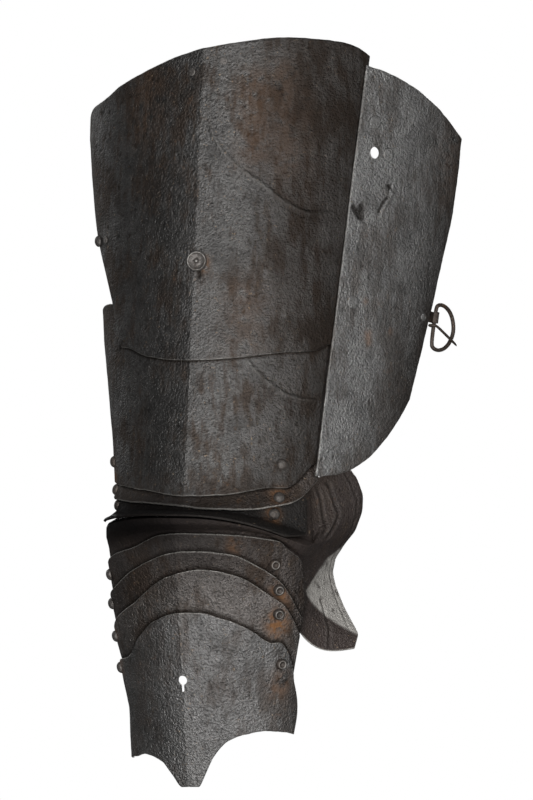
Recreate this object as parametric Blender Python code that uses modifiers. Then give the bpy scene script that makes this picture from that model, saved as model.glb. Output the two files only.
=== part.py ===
"""Armour for one leg: thigh plates, a jointed knee with a side wing, and the plate below the knee.

The leg stands upright and faces -Y. The outer side of the leg, with the wing and the hinged side
plate, is at +X. Sizes are in metres. Heights are worked out above the lowest tip, and the finished
model is then moved so that its origin is where the lost hanging strap was riveted, inside the top.
"""
import math

import bmesh
import bpy
import numpy as np
from mathutils import Matrix, Vector

# Heights
KNEE_LEVEL = 0.200
THIGH_RISE = 0.380
SHIN_DROP = 0.200
KNEE_SPAN = 0.180

# Breadths from the front ridge to each side, and depths from the ridge to the sides
THIGH_MEDIAL = 0.119
THIGH_LATERAL = 0.122
THIGH_DEPTH = 0.074
KNEE_MEDIAL = 0.078
KNEE_LATERAL = 0.0915
KNEE_DEPTH = 0.0605
SHIN_MEDIAL = 0.063
SHIN_LATERAL = 0.0745
SHIN_DEPTH = 0.050
KEEL_SHARE = 0.16

# How far each stretch stands forward at the knee line and how it leans. The thigh's lower lip starts to
# flare at a share of the knee span over the knee line, and is full a spread lower.
THIGH_FRONT = 0.0488
SHIN_FRONT = 0.0667
KNEE_REACH = 0.0765
THIGH_LEAN = math.radians(7.5)
SHIN_LEAN = math.radians(8.7)
LIP_FLARE = 0.006
LIP_START = 0.1777
LIP_SPREAD = 0.0945

# Plates and clearances
PLATE = 0.0015
RUN_GAP = 0.0010
SEAT_GAP = 0.0003
TOUCH_GAP = 0.0003
TUCK = 0.0034
STEP = PLATE + RUN_GAP
UPPER_LIFT = PLATE + SEAT_GAP
COP_TUCK_ABOVE = 0.0123
COP_TUCK_BELOW = 0.0122

# Rivets
RIVET_SHANK = 0.0021
RIVET_HEAD = 0.0046
RIVET_HEIGHT = 0.0030
RIVET_FOOT = 0.0030
RIVET_FOOT_HEIGHT = 0.0007
FOOT_SPACE = 0.0009
HOLE_CLEARANCE = 0.0005
FLUSH_HEIGHT = 0.0006
TAB_RIVET_HEAD = 0.0031
SIDE_RIVET_HEAD = 0.0054
STUD_HEAD = 0.0078
STUD_HEIGHT = 0.0040
COLUMN_TURN = 11.4
END_TURN_SHARE = 0.3
RIVET_STEPS = 8
HOLE_SIDES = 8
HOLE_LENGTH = 0.024
HANG_RISE = 0.941

# Side plate, its hinges and the buckle
SIDE_WIDTH = 0.113
SIDE_BEND_RADIUS = 0.400
SIDE_COLUMNS = 8
SEAM_ANGLE = 70.0
SIDE_LIFT = UPPER_LIFT + PLATE + SEAT_GAP + TOUCH_GAP
LAP_ANGLE = 73.0
HINGE_SET = 0.0085
HINGE_PIN = 0.0013
HINGE_HEIGHT = 0.020
HINGE_SPLIT = 0.0003
HINGE_LEAF = 0.013
HINGE_LEAF_TURN = 6.0
HINGE_RIVET_SET = 0.0062
LEAF = 0.0012
STRAP_HOLE = 0.0046
BUCKLE_HEIGHT = 0.036
BUCKLE_WIDTH = 0.026
BUCKLE_WIRE = 0.0018
TONGUE_WIRE = 0.0012
TONGUE_LENGTH = 0.029
TONGUE_DROOP = 0.011
BUCKLE_REACH = 0.0065
TAB_LENGTH = 0.014
TAB_LOW = 0.0024
TAB_HIGH = 0.0110

# Keyhole in the lowest plate
KEYHOLE_RADIUS = 0.0036
KEYHOLE_SLOT = 0.0022
KEYHOLE_DROP = 0.009
KEYHOLE_RISE = -0.585

# Half breadth of the thigh on the inner side, as a share of the way from the knee to the top
MEDIAL_SWELL = (
    # rise, share
    (0.000, 0.00), (0.042, 0.00), (0.097, 0.03), (0.179, 0.12),
    (0.260, 0.24), (0.382, 0.43), (0.587, 0.67), (0.800, 0.93), (0.974, 1.00),
)
# Half breadths below the knee, as shares of the way from the knee to the shin's end
SHIN_TAPER = (
    # drop, inner side, outer side
    (0.00, 0.00, 0.26), (0.28, 0.13, 0.27), (0.44, 0.32, 0.56),
    (0.60, 0.70, 0.85), (0.70, 0.95, 0.93), (1.00, 1.00, 1.00),
)

# Edges of the plates. Each row is an angle round the leg in degrees, from the ridge at 0 to the inner
# side at -90 and the outer side at +90, and a height over the knee line as a share of a named span.
UPPER_TOP = (
    (-82, 0.842), (-70, 0.862), (-54, 0.881), (-39, 0.911), (-24, 0.940), (-5, 0.973), (8, 0.987),
    (22, 0.998), (30, 1.000), (39, 0.999), (50, 0.994), (60, 0.986), (69, 0.972), (76, 0.958),
)
UPPER_BOTTOM = (
    (-46, 0.3695), (-38, 0.366), (-23, 0.3475), (0, 0.3405), (21, 0.3465), (39, 0.3555),
    (60, 0.360), (67, 0.371), (76, 0.378),
)
UPPER_INNER_END = (
    # share of the way up, angle
    (0.00, -44), (0.19, -52), (0.33, -60), (0.50, -72), (0.66, -80), (1.00, -82),
)
LOWER_TOP = (
    (-82, 0.440), (-70, 0.452), (-55, 0.458), (20, 0.458), (50, 0.410), (76, 0.400),
)
LOWER_BOTTOM = (
    (-80, 0.194), (-60, 0.183), (-27, 0.161), (0, 0.139), (17, 0.143), (42, 0.172), (51, 0.173),
    (58, 0.200), (66, 0.256), (76, 0.300),
)
LAME_A_EDGE = (
    (-80, 0.126), (-40, 0.113), (-25, 0.109), (0, 0.098), (18, 0.085), (30, 0.083), (45, 0.094),
    (58, 0.113), (62, 0.128), (66, 0.150), (72, 0.185), (78, 0.215),
)
LAME_A_HIDDEN = (
    (-80, 0.344), (-60, 0.333), (-30, 0.256), (0, 0.222), (25, 0.244), (45, 0.333), (60, 0.344),
    (78, 0.320),
)
LAME_1_EDGE = (
    (-80, -0.158), (-55, -0.117), (-30, -0.081), (-10, -0.029), (0, -0.022), (20, -0.024),
    (44, -0.040), (58, -0.056), (64, -0.089), (70, -0.112), (76, -0.130), (84, -0.190),
)
LAME_1_OUTER_END = (
    # share of the way from the exposed edge to the hidden one, angle
    (0.00, 78), (0.40, 84), (0.65, 84), (1.00, 76),
)
LAME_1_HIDDEN = (
    (-80, -0.383), (-60, -0.367), (-30, -0.270), (0, -0.178), (12, -0.172), (30, -0.200),
    (54, -0.317), (70, -0.385), (84, -0.440),
)
LAME_2_EDGE = (
    (-80, -0.294), (-58, -0.258), (-31, -0.176), (-4, -0.107), (12, -0.098), (27, -0.111),
    (43, -0.163), (57, -0.228), (69, -0.327), (82, -0.403),
)
LAME_2_HIDDEN = (
    (-80, -0.522), (-60, -0.500), (-30, -0.390), (0, -0.250), (13, -0.244), (30, -0.280),
    (56, -0.420), (70, -0.465), (83, -0.510),
)
LAME_3_EDGE = (
    (-80, -0.439), (-55, -0.380), (-34, -0.322), (-6, -0.206), (13, -0.176), (30, -0.202),
    (49, -0.284), (59, -0.327), (71, -0.406), (79, -0.460),
)
LAME_3_HIDDEN = (
    (-80, -0.680), (-60, -0.672), (-40, -0.600), (0, -0.456), (30, -0.490), (50, -0.600),
    (62, -0.655), (79, -0.695),
)
SHIN_TOP = (
    (-80, -0.600), (-68, -0.572), (-52, -0.561), (-44, -0.544), (-33, -0.473), (-17, -0.396),
    (-1, -0.361), (11, -0.361), (22, -0.384), (38, -0.434), (53, -0.491), (58, -0.489),
    (65, -0.516), (71, -0.568), (76, -0.635),
)
SHIN_BOTTOM = (
    (-85, -0.903), (-52, -0.888), (-38, -0.878), (-22, -0.903), (-13, -0.954), (-5, -1.000),
    (6, -1.000), (11, -0.942), (16.5, -0.876), (26, -0.818), (35.5, -0.795), (51.5, -0.783),
    (63, -0.787), (78, -0.798),
)
SHIN_INNER_END = (
    # share of the way up, angle
    (0.00, -85), (1.00, -80),
)
SHIN_OUTER_END = (
    # share of the way up, angle
    (0.00, 78), (0.45, 85), (1.00, 76),
)

# Rows of the knee plates from top to bottom. Reach is a share of the way from the tucked front to the
# crest, side a share of the knee's depth, the heights shares of the knee span over the knee line, the
# half breadths shares of the knee's own, and lateness says how far round the outer height is reached.
LAME_B_ROWS = (
    # reach, side, front height, inner height, outer height, inner half, outer half, lateness, outer end
    (0.0625, 0.281, 0.156, 0.222, 0.200, 0.918, 0.935, 1.3, 75),
    (0.2000, 0.258, 0.117, 0.139, 0.144, 0.944, 0.946, 1.3, 75),
    (0.3000, 0.192, 0.077, 0.067, -0.036, 0.963, 0.970, 1.3, 74),
    (0.6625, 0.083, 0.070, 0.044, -0.047, 0.992, 0.995, 1.3, 70),
    (0.9125, -0.010, 0.069, 0.033, -0.061, 1.013, 1.005, 1.3, 65),
    (1.0000, -0.050, 0.065, 0.022, -0.078, 1.019, 1.005, 1.3, 60),
)
COP_ROWS = (
    # reach, side, front height, inner height, outer height, inner half, outer half, lateness
    (0.000, 0.290, 0.100, 0.133, 0.200, 0.860, 0.883, 4.0),
    (0.125, 0.262, 0.080, 0.108, 0.089, 0.884, 0.903, 2.0),
    (0.275, 0.200, 0.056, 0.044, -0.055, 0.921, 0.930, 1.3),
    (0.638, 0.075, 0.0515, 0.024, -0.064, 0.957, 0.960, 1.3),
    (0.863, -0.012, 0.050, 0.010, -0.073, 0.980, 0.970, 1.3),
    (0.938, -0.052, 0.046, -0.011, -0.079, 0.990, 0.974, 1.3),
    (0.808, -0.066, 0.0195, -0.050, -0.105, 0.990, 0.936, 2.0),
    (0.357, -0.045, -0.007, -0.100, -0.125, 0.976, 0.890, 3.4),
    (0.214, -0.050, -0.033, -0.156, -0.239, 0.959, 0.880, 1.65),
    (0.140, -0.030, -0.061, -0.195, -0.269, 0.932, 0.868, 1.95),
    (0.085, -0.010, -0.086, -0.235, -0.306, 0.915, 0.850, 2.35),
    (0.043, 0.004, -0.108, -0.265, -0.356, 0.896, 0.835, 2.9),
    (0.000, 0.018, -0.128, -0.290, -0.411, 0.878, 0.820, 3.4),
)
COP_INNER_END = -84
LAME_B_INNER_END = -80
LOWER_HALF_ROW = 6
KNEE_EASE = 1.3
# Rim of the wing, one row for each row of the cop
WING_RIM = (
    # outward, back, height, sag, as shares of the wing's flare, its depth and the knee span
    (0.46, 0.57, 0.236, 0.000),
    (0.67, 0.75, 0.261, 0.000),
    (0.74, 0.87, 0.211, 0.000),
    (0.76, 0.95, 0.139, 0.000),
    (0.69, 0.98, 0.067, 0.000),
    (0.47, 1.00, -0.021, 0.000),
    (0.32, 1.00, -0.072, 0.000),
    (0.18, 1.00, -0.137, 0.000),
    (0.14, 0.98, -0.197, 0.000),
    (0.26, 0.97, -0.253, 0.000),
    (0.57, 0.94, -0.344, 0.000),
    (1.09, 0.84, -0.460, -0.020),
    (1.12, 0.70, -0.521, -0.055),
)
WING_FLARE = 0.030
WING_DEPTH = 0.061
WING_CURVE = 1.5
WING_COLUMNS = 5

# Outline of the side plate from its lower tip to its top, up the hinged edge and the free edge
SIDE_ROWS = (
    # hinged edge height and free edge height over the knee line as shares of the thigh rise, width as
    # a share of the side plate's, bulge as a share of the thigh rise, and how late the row rises
    (0.105, 0.260, 0.79, 0.000, 2.6),
    (0.190, 0.310, 0.82, 0.000, 1.8),
    (0.300, 0.370, 0.86, 0.000, 1.3),
    (0.420, 0.450, 0.90, 0.000, 1.0),
    (0.560, 0.550, 0.95, 0.000, 1.0),
    (0.700, 0.650, 1.00, 0.002, 1.0),
    (0.830, 0.735, 1.00, 0.010, 1.0),
    (0.944, 0.801, 0.99, 0.023, 1.0),
)

# Turning points of the knee, an inner and an outer rivet each
PIVOTS = (
    # inner angle and height, outer angle and height, heights as shares of the knee span
    ("cuisse", -72, 0.281, 47, 0.272),
    ("lame_a", -72, 0.161, 48, 0.131),
    ("lame_b", -72, 0.094, 48, 0.061),
    ("lame_1", -72, -0.205, 54, -0.154),
    ("lame_2", -72, -0.331, 56, -0.262),
    ("lame_3", -72, -0.472, 56, -0.366),
    ("shin", -72, -0.607, 61, -0.581),
)

# Rivets and the stud that go through one plate
SINGLE_RIVETS = (
    # name, angle, height as a share of the thigh rise, head radius, head height
    ("hanging_rivet_inner", -4.5, 0.930, TAB_RIVET_HEAD, FLUSH_HEIGHT),
    ("hanging_rivet_outer", 7.3, 0.952, TAB_RIVET_HEAD, FLUSH_HEIGHT),
    ("main_stud", 1.2, 0.5415, STUD_HEAD, STUD_HEIGHT),
    ("strap_rivet_front", -56.0, 0.590, TAB_RIVET_HEAD, FLUSH_HEIGHT),
    ("strap_rivet_back", -66.5, 0.588, RIVET_HEAD, RIVET_HEIGHT),
)

# Hinges of the side plate, and what is left of its other fittings
HINGES = (
    # name, height as a share of the thigh rise
    ("hinge_lower", 0.446), ("hinge_upper", 0.815),
)
STRAP_HOLE_RISE = 0.766
STRAP_HOLE_WIDTH = 0.0182
SPARE_RIVET_RISE = 0.763
SPARE_RIVET_WIDTH = 0.0317
BUCKLE_RISE = 0.413
# Half of the buckle's ring, from its bar to its far side
BUCKLE_RING = (
    # back as a share of the width, up as a share of the height
    (0.00, 0.40), (0.07, 0.46), (0.22, 0.50), (0.42, 0.49), (0.64, 0.43), (0.82, 0.32), (0.94, 0.17),
    (1.00, 0.00),
)

# Joints of the knee from the thigh down, each carried by the one before it
KNEE_JOINTS = (
    # joint, the pair of pivots it turns on, the pieces that turn
    ("flex_lame_a", "cuisse", ("lame_a", "pivot_lame_a_inner", "pivot_lame_a_outer")),
    ("flex_lame_b", "lame_a", ("lame_b", "pivot_lame_b_inner", "pivot_lame_b_outer")),
    ("flex_knee_cop", "lame_b", ("knee_cop",)),
    ("flex_lame_1", "lame_1", ("lame_1", "pivot_lame_1_inner", "pivot_lame_1_outer")),
    ("flex_lame_2", "lame_2", ("lame_2", "pivot_lame_2_inner", "pivot_lame_2_outer")),
    ("flex_lame_3", "lame_3", ("lame_3", "pivot_lame_3_inner", "pivot_lame_3_outer")),
    ("flex_shin_plate", "shin", ("shin_plate", "pivot_shin_inner", "pivot_shin_outer")),
)
SIDE_PIECES = (
    "side_plate", "side_rivet_upper", "hinge_lower_side_leaf", "hinge_upper_side_leaf",
    "hinge_lower_rivet", "hinge_upper_rivet", "buckle_tab", "buckle_rivet",
)

COLLECTION = "leg_armour"
CUTTERS = "leg_armour_cutters"


def clear_scene():
    """Empty the scene and make the two collections."""
    for item in list(bpy.data.objects):
        bpy.data.objects.remove(item, do_unlink=True)
    for name in (COLLECTION, CUTTERS):
        old = bpy.data.collections.get(name)
        if old:
            bpy.data.collections.remove(old)
        bpy.context.scene.collection.children.link(bpy.data.collections.new(name))


def metal(name, colour, roughness, metallic=0.85):
    """One metal finish."""
    finish = bpy.data.materials.new(name)
    finish.use_nodes = True
    shader = finish.node_tree.nodes["Principled BSDF"]
    shader.inputs["Base Color"].default_value = (*colour, 1.0)
    shader.inputs["Roughness"].default_value = roughness
    shader.inputs["Metallic"].default_value = metallic
    return finish


def blend(low, high, share):
    """Value part of the way from low to high."""
    return low + (high - low) * share


def read_table(rows, key, column=1):
    """Value of one column of a table at a key, with straight lines between rows."""
    return float(np.interp(key, [row[0] for row in rows], [row[column] for row in rows]))


def edge(rows, span):
    """Height of an edge table at an angle, above the lowest tip."""
    return lambda angle: KNEE_LEVEL + span * read_table(rows, angle)


def thigh_section(height):
    """Front, depth and half breadths of the thigh at a height."""
    over = height - KNEE_LEVEL
    rise = over / THIGH_RISE
    flare_share = max(0.0, min(1.0, (LIP_START - over / KNEE_SPAN) / LIP_SPREAD))
    front = -THIGH_FRONT + math.tan(THIGH_LEAN) * over - LIP_FLARE * flare_share ** 2
    depth = blend(KNEE_DEPTH, THIGH_DEPTH, rise)
    medial = blend(KNEE_MEDIAL, THIGH_MEDIAL, read_table(MEDIAL_SWELL, rise))
    lateral = blend(KNEE_LATERAL, THIGH_LATERAL, rise)
    return front, depth, medial, lateral


def shin_section(height):
    """Front, depth and half breadths below the knee at a height."""
    drop = (KNEE_LEVEL - height) / SHIN_DROP
    front = -SHIN_FRONT + math.tan(SHIN_LEAN) * (KNEE_LEVEL - height)
    depth = blend(KNEE_DEPTH, SHIN_DEPTH, drop)
    medial = blend(KNEE_MEDIAL, SHIN_MEDIAL, read_table(SHIN_TAPER, drop, 1))
    lateral = blend(KNEE_LATERAL, SHIN_LATERAL, read_table(SHIN_TAPER, drop, 2))
    return front, depth, medial, lateral


def bend(section, angle, height, lift=0.0):
    """Point of a keeled trough at an angle in degrees, lifted off it along its own outward side."""
    front, depth, medial, lateral = section
    half = medial if angle < 0 else lateral
    turn = math.radians(angle)
    keel = KEEL_SHARE * half
    bowl = depth - keel
    x = half * math.sin(turn)
    y = front + bowl * (1 - math.cos(turn)) + keel * abs(math.sin(turn))
    if lift:
        if angle == 0:
            outward = Vector((0.0, -1.0))
        else:
            along = Vector((half * math.cos(turn),
                            bowl * math.sin(turn) + math.copysign(keel, turn) * math.cos(turn)))
            outward = Vector((along.y, -along.x)).normalized()
        x += outward.x * lift
        y += outward.y * lift
    return Vector((x, y, height))


ORIGIN = bend(thigh_section(KNEE_LEVEL + HANG_RISE * THIGH_RISE), 0.0,
              KNEE_LEVEL + HANG_RISE * THIGH_RISE, UPPER_LIFT - PLATE)


class Trough:
    """A plate bent round a leg section, between edges that it crosses from its first to its last."""

    def __init__(self, section, levels, ends):
        """levels are pairs of an edge and a lift, and ends gives both end angles at a share."""
        self.section = section
        self.levels = levels
        self.ends = ends

    def point(self, angle, height):
        """Outer face at an angle and a height."""
        pairs = sorted((level(angle), lift) for level, lift in self.levels)
        lift = float(np.interp(height, [pair[0] for pair in pairs], [pair[1] for pair in pairs]))
        return bend(self.section(height), angle, height, lift)

    def grid(self, counts, inner, outer):
        """Rows of points from the lowest edge to the highest."""
        rows = []
        total = sum(counts)
        done = 0
        for index, count in enumerate(counts):
            low, low_lift = self.levels[index]
            high, high_lift = self.levels[index + 1]
            first = 0 if index == 0 else 1
            for step in range(first, count + 1):
                share = step / count
                ends = self.ends((done + step) / total)
                row = []
                for angle in spread(ends, inner, outer):
                    height = blend(low(angle), high(angle), share)
                    lift = blend(low_lift, high_lift, share)
                    row.append(bend(self.section(height), angle, height, lift))
                rows.append(row)
            done += count
        if rows[0][inner + 1].z > rows[-1][inner + 1].z:
            rows.reverse()
        return rows


class KneeRows:
    """A knee plate given row by row, from its hidden upper edge down."""

    def __init__(self, rows, lower_from):
        """lower_from is the row from which the plate tucks in under the plates below."""
        self.rows = rows
        self.lower_from = lower_from

    def row_point(self, index, angle):
        """Outer face on one row at an angle."""
        reach, side, front_rise, inner_rise, outer_rise, inner, outer, late = self.rows[index][:8]
        base = THIGH_FRONT - COP_TUCK_ABOVE
        if index >= self.lower_from:
            base = SHIN_FRONT - COP_TUCK_BELOW
        front = -blend(base, KNEE_REACH, reach)
        depth = side * KNEE_DEPTH - front
        turn = abs(angle) / 90.0
        ease = (turn * turn * (3 - 2 * turn)) ** (KNEE_EASE if angle < 0 else late)
        side_rise = inner_rise if angle < 0 else outer_rise
        height = KNEE_LEVEL + KNEE_SPAN * blend(front_rise, side_rise, ease)
        section = (front, depth, inner * KNEE_MEDIAL, outer * KNEE_LATERAL)
        return bend(section, angle, height)

    def point(self, angle, height):
        """Outer face at an angle and a height."""
        points = [self.row_point(index, angle) for index in range(len(self.rows))]
        for upper, lower in zip(points, points[1:]):
            if upper.z >= height >= lower.z:
                return upper.lerp(lower, (upper.z - height) / (upper.z - lower.z))
        return points[0] if height > points[0].z else points[-1]


def spread(ends, inner, outer):
    """Angles from one end to the other: the ridge, turns that all plates share, and both ends."""
    low, high = ends
    inner_turn = min(COLUMN_TURN, -low / (inner + END_TURN_SHARE))
    outer_turn = min(COLUMN_TURN, high / (outer + END_TURN_SHARE))
    return ([low] + [-inner_turn * step for step in range(inner, 0, -1)] + [0.0]
            + [outer_turn * step for step in range(1, outer + 1)] + [high])


def from_bmesh(name, mesh, collection, finish=None):
    """An object from a mesh being edited. A piece without a finish is a cutter."""
    data = bpy.data.meshes.new(name)
    mesh.to_mesh(data)
    mesh.free()
    item = bpy.data.objects.new(name, data)
    bpy.data.collections[collection].objects.link(item)
    if finish is None:
        item.hide_render = True
        item.display_type = "WIRE"
    else:
        data.materials.append(finish)
    return item


def shell(name, rows, finish):
    """A plate from rows of outer face points, thickened inwards."""
    mesh = bmesh.new()
    verts = [[mesh.verts.new(point - ORIGIN) for point in row] for row in rows]
    for low, high in zip(verts, verts[1:]):
        for left in range(len(low) - 1):
            mesh.faces.new((low[left], low[left + 1], high[left + 1], high[left]))
    item = from_bmesh(name, mesh, COLLECTION, finish)
    wall = item.modifiers.new("wall", "SOLIDIFY")
    wall.thickness = PLATE
    wall.offset = -1
    wall.use_even_offset = True
    return item


def facing(plate, angle, height):
    """Place and outward direction of a plate's outer face."""
    small = 0.5
    here = plate.point(angle, height)
    across = plate.point(angle + small, height) - plate.point(angle - small, height)
    upward = plate.point(angle, height + 0.001) - plate.point(angle, height - 0.001)
    return here, across.cross(upward).normalized()


def aim(direction):
    """Rotation that turns +Z to a direction."""
    return direction.to_track_quat("Z", "Y").to_matrix().to_4x4()


def turned(name, profile, place, direction, finish, steps=RIVET_STEPS):
    """A turned piece from its outline of radius and height pairs, listed from the top down."""
    data = bpy.data.meshes.new(name)
    points = [(radius, 0.0, height) for radius, height in profile]
    data.from_pydata(points, [(index, index + 1) for index in range(len(points) - 1)], [])
    item = bpy.data.objects.new(name, data)
    bpy.data.collections[COLLECTION].objects.link(item)
    screw = item.modifiers.new("turn", "SCREW")
    screw.steps = steps
    screw.render_steps = steps
    screw.use_merge_vertices = True
    screw.merge_threshold = 0.00001
    item.matrix_world = Matrix.Translation(place - ORIGIN) @ aim(direction)
    item.data.materials.append(finish)
    return item


def rivet_profile(head, height, depth, seat=0.0):
    """Outline of a riveted pin: its domed head, its shank and its spread foot."""
    under = TOUCH_GAP + seat
    return (
        (0.0, under + height),
        (head * 0.55, under + height * 0.86),
        (head * 0.90, under + height * 0.46),
        (head, under),
        (RIVET_SHANK, under),
        (RIVET_SHANK, -depth),
        (RIVET_FOOT, -depth),
        (RIVET_FOOT * 0.8, -depth - RIVET_FOOT_HEIGHT),
        (0.0, -depth - RIVET_FOOT_HEIGHT),
    )


def rises(plate, angle, height, place, direction, radius):
    """How far a plate's outer face stands over a place, at points on a ring of a radius round it."""
    turn = math.degrees(radius / KNEE_LATERAL)
    found = []
    for step in range(8):
        way = math.radians(45 * step)
        point = plate.point(angle + turn * math.cos(way), height + radius * math.sin(way))
        found.append((point - place).dot(direction))
    return found


def drill(name, radius, length, place, direction):
    """A round cutter centred on a place."""
    mesh = bmesh.new()
    bmesh.ops.create_cone(mesh, cap_ends=True, segments=HOLE_SIDES, radius1=radius, radius2=radius,
                          depth=length)
    item = from_bmesh(name, mesh, CUTTERS)
    item.matrix_world = Matrix.Translation(place - ORIGIN) @ aim(direction)
    return item


def block_cutter(name, size, frame):
    """A box cutter centred on a frame."""
    mesh = bmesh.new()
    bmesh.ops.create_cube(mesh, size=1.0)
    bmesh.ops.scale(mesh, vec=size, verts=mesh.verts)
    item = from_bmesh(name, mesh, CUTTERS)
    item.matrix_world = frame
    return item


def cut(item, tool):
    """Take a cutter out of a piece."""
    change = item.modifiers.new("cut", "BOOLEAN")
    change.operation = "DIFFERENCE"
    change.solver = "EXACT"
    change.object = tool


def rivet(name, outer, angle, height, walls, finish, head=RIVET_HEAD, rise=RIVET_HEIGHT, inner=None):
    """A rivet through the given walls, with its holes. Returns the middle of its grip."""
    place, direction = facing(outer, angle, height)
    seat = max(0.0, *rises(outer, angle, height, place, direction, head))
    inner = inner or outer
    grip = PLATE - (inner.point(angle, height) - place).dot(direction)
    foot_height = (place - direction * grip).z
    grip = PLATE - min(rises(inner, angle, foot_height, place, direction, RIVET_FOOT))
    turned(name, rivet_profile(head, rise, grip + FOOT_SPACE, seat), place, direction, finish)
    tool = drill(name + "_hole", RIVET_SHANK + HOLE_CLEARANCE, HOLE_LENGTH, place, direction)
    for wall in walls:
        cut(wall, tool)
    return place - direction * grip / 2


def side_heading(height):
    """Place of the hinged edge at a height and the direction in which the side plate leaves it."""
    section = thigh_section(height)
    start = bend(section, SEAM_ANGLE, height, SIDE_LIFT)
    ahead = bend(section, SEAM_ANGLE - 1, height, SIDE_LIFT)
    return start, math.atan2(start.y - ahead.y, start.x - ahead.x)


def side_point(width, height):
    """Outer face of the side plate at a width behind its hinged edge."""
    start, heading = side_heading(height)
    turn = heading + width / SIDE_BEND_RADIUS
    x = start.x + SIDE_BEND_RADIUS * (math.sin(turn) - math.sin(heading))
    y = start.y - SIDE_BEND_RADIUS * (math.cos(turn) - math.cos(heading))
    return Vector((x, y, height))


def side_frame(width, height, depth, along=0.02):
    """Axes out of, back along and up the side plate, at a depth inside its outer face."""
    here = side_point(width, height)
    back = (side_point(width + 0.001, height) - side_point(width - 0.001, height)).normalized()
    up = (side_point(width, height + along) - side_point(width, height - along)).normalized()
    out = back.cross(up).normalized()
    back = up.cross(out)
    place = here - out * depth - ORIGIN
    return Matrix((
        (out.x, back.x, up.x, place.x),
        (out.y, back.y, up.y, place.y),
        (out.z, back.z, up.z, place.z),
        (0.0, 0.0, 0.0, 1.0),
    ))


def side_inside(width, height, depth):
    """Place inside the side plate at a width, a height and a depth inside its outer face."""
    start, heading = side_heading(height)
    turn = heading + width / SIDE_BEND_RADIUS
    outward = Vector((math.sin(turn), -math.cos(turn), 0.0))
    return side_point(width, height) - outward * depth


def side_width(height):
    """Width of the side plate where its free edge is at a height."""
    over = (height - KNEE_LEVEL) / THIGH_RISE
    return SIDE_WIDTH * float(np.interp(over, [row[1] for row in SIDE_ROWS], [row[2] for row in SIDE_ROWS]))


def in_frame(frame, point):
    """Out and back places of a point in a frame."""
    local = frame.inverted() @ (point - ORIGIN)
    return local.x, local.y


def strap(name, path, low, high, frame, finish):
    """A strap bent along a path of out and back places, between two heights in a frame."""
    mesh = bmesh.new()
    lower = [mesh.verts.new((out, back, low)) for out, back in path]
    upper = [mesh.verts.new((out, back, high)) for out, back in path]
    for index in range(len(path) - 1):
        mesh.faces.new((lower[index], lower[index + 1], upper[index + 1], upper[index]))
    item = from_bmesh(name, mesh, COLLECTION, finish)
    item.matrix_world = frame
    wall = item.modifiers.new("wall", "SOLIDIFY")
    wall.thickness = LEAF
    wall.offset = 0
    wall.use_even_offset = True
    return item


def arc(radius, start, end, steps):
    """Places round a circle from one angle to another, an angle of 0 pointing out and 90 back."""
    places = []
    for step in range(steps + 1):
        turn = math.radians(blend(start, end, step / steps))
        places.append((radius * math.cos(turn), radius * math.sin(turn)))
    return places


def wire(name, points, radius, frame, finish, closed=False, sides=2):
    """A bent wire through points in a frame."""
    data = bpy.data.curves.new(name, "CURVE")
    data.dimensions = "3D"
    data.bevel_depth = radius
    data.bevel_resolution = sides
    data.use_fill_caps = not closed
    spline = data.splines.new("POLY")
    spline.points.add(len(points) - 1)
    for target, point in zip(spline.points, points):
        target.co = (*point, 1.0)
    spline.use_cyclic_u = closed
    item = bpy.data.objects.new(name, data)
    bpy.data.collections[COLLECTION].objects.link(item)
    item.matrix_world = frame
    data.materials.append(finish)
    return item


def thigh_plates(steel):
    """The two thigh plates, which are riveted together."""
    upper = Trough(
        thigh_section,
        ((edge(UPPER_BOTTOM, THIGH_RISE), UPPER_LIFT), (edge(UPPER_TOP, THIGH_RISE), UPPER_LIFT)),
        lambda share: (read_table(UPPER_INNER_END, share), LAP_ANGLE))
    lower = Trough(
        thigh_section,
        ((edge(LOWER_BOTTOM, KNEE_SPAN), 0.0), (edge(LOWER_TOP, THIGH_RISE), 0.0)),
        lambda share: (-80, LAP_ANGLE))
    upper_item = shell("cuisse_upper", upper.grid((14,), 6, 6), steel)
    lower_item = shell("cuisse_lower", lower.grid((9,), 6, 6), steel)
    return {"cuisse_upper": (upper, upper_item), "cuisse": (lower, lower_item)}


def lap_plate(name, section, edges, ends, counts, steel):
    """A lame with its exposed edge, the neighbour's edge over it and its hidden edge."""
    lifts = (0.0, -STEP, -STEP - TUCK)
    plate = Trough(section, tuple(zip(edges, lifts)), ends)
    return plate, shell(name, plate.grid(counts, 6, 6), steel)


def thigh_lames(steel):
    """The two lames over the knee cop."""
    lame_a = lap_plate(
        "lame_a", thigh_section,
        (edge(LAME_A_EDGE, KNEE_SPAN), edge(LOWER_BOTTOM, KNEE_SPAN), edge(LAME_A_HIDDEN, KNEE_SPAN)),
        lambda share: (-80, 76), (2, 3), steel)
    knee_rows = KneeRows(LAME_B_ROWS, len(LAME_B_ROWS))
    rows = [[knee_rows.row_point(index, angle) for angle in spread((LAME_B_INNER_END, row[8]), 6, 5)]
            for index, row in enumerate(LAME_B_ROWS)]
    lame_b = (knee_rows, shell("lame_b", rows[::-1], steel))
    return {"lame_a": lame_a, "lame_b": lame_b}


def wing_points(row, index):
    """The wing's part of one row of the cop, from the outer side of the knee to the wing's rim."""
    start = row[-1]
    outward, back, rise, sag = WING_RIM[index]
    rim_x = start.x + outward * WING_FLARE
    rim_y = back * WING_DEPTH
    rim_z = KNEE_LEVEL + rise * KNEE_SPAN
    points = []
    for step in range(1, WING_COLUMNS + 1):
        share = step / WING_COLUMNS
        points.append(Vector((
            blend(start.x, rim_x, share ** WING_CURVE),
            blend(start.y, rim_y, share),
            blend(start.z, rim_z, share) + sag * KNEE_SPAN * math.sin(math.pi * share))))
    return points


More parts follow.
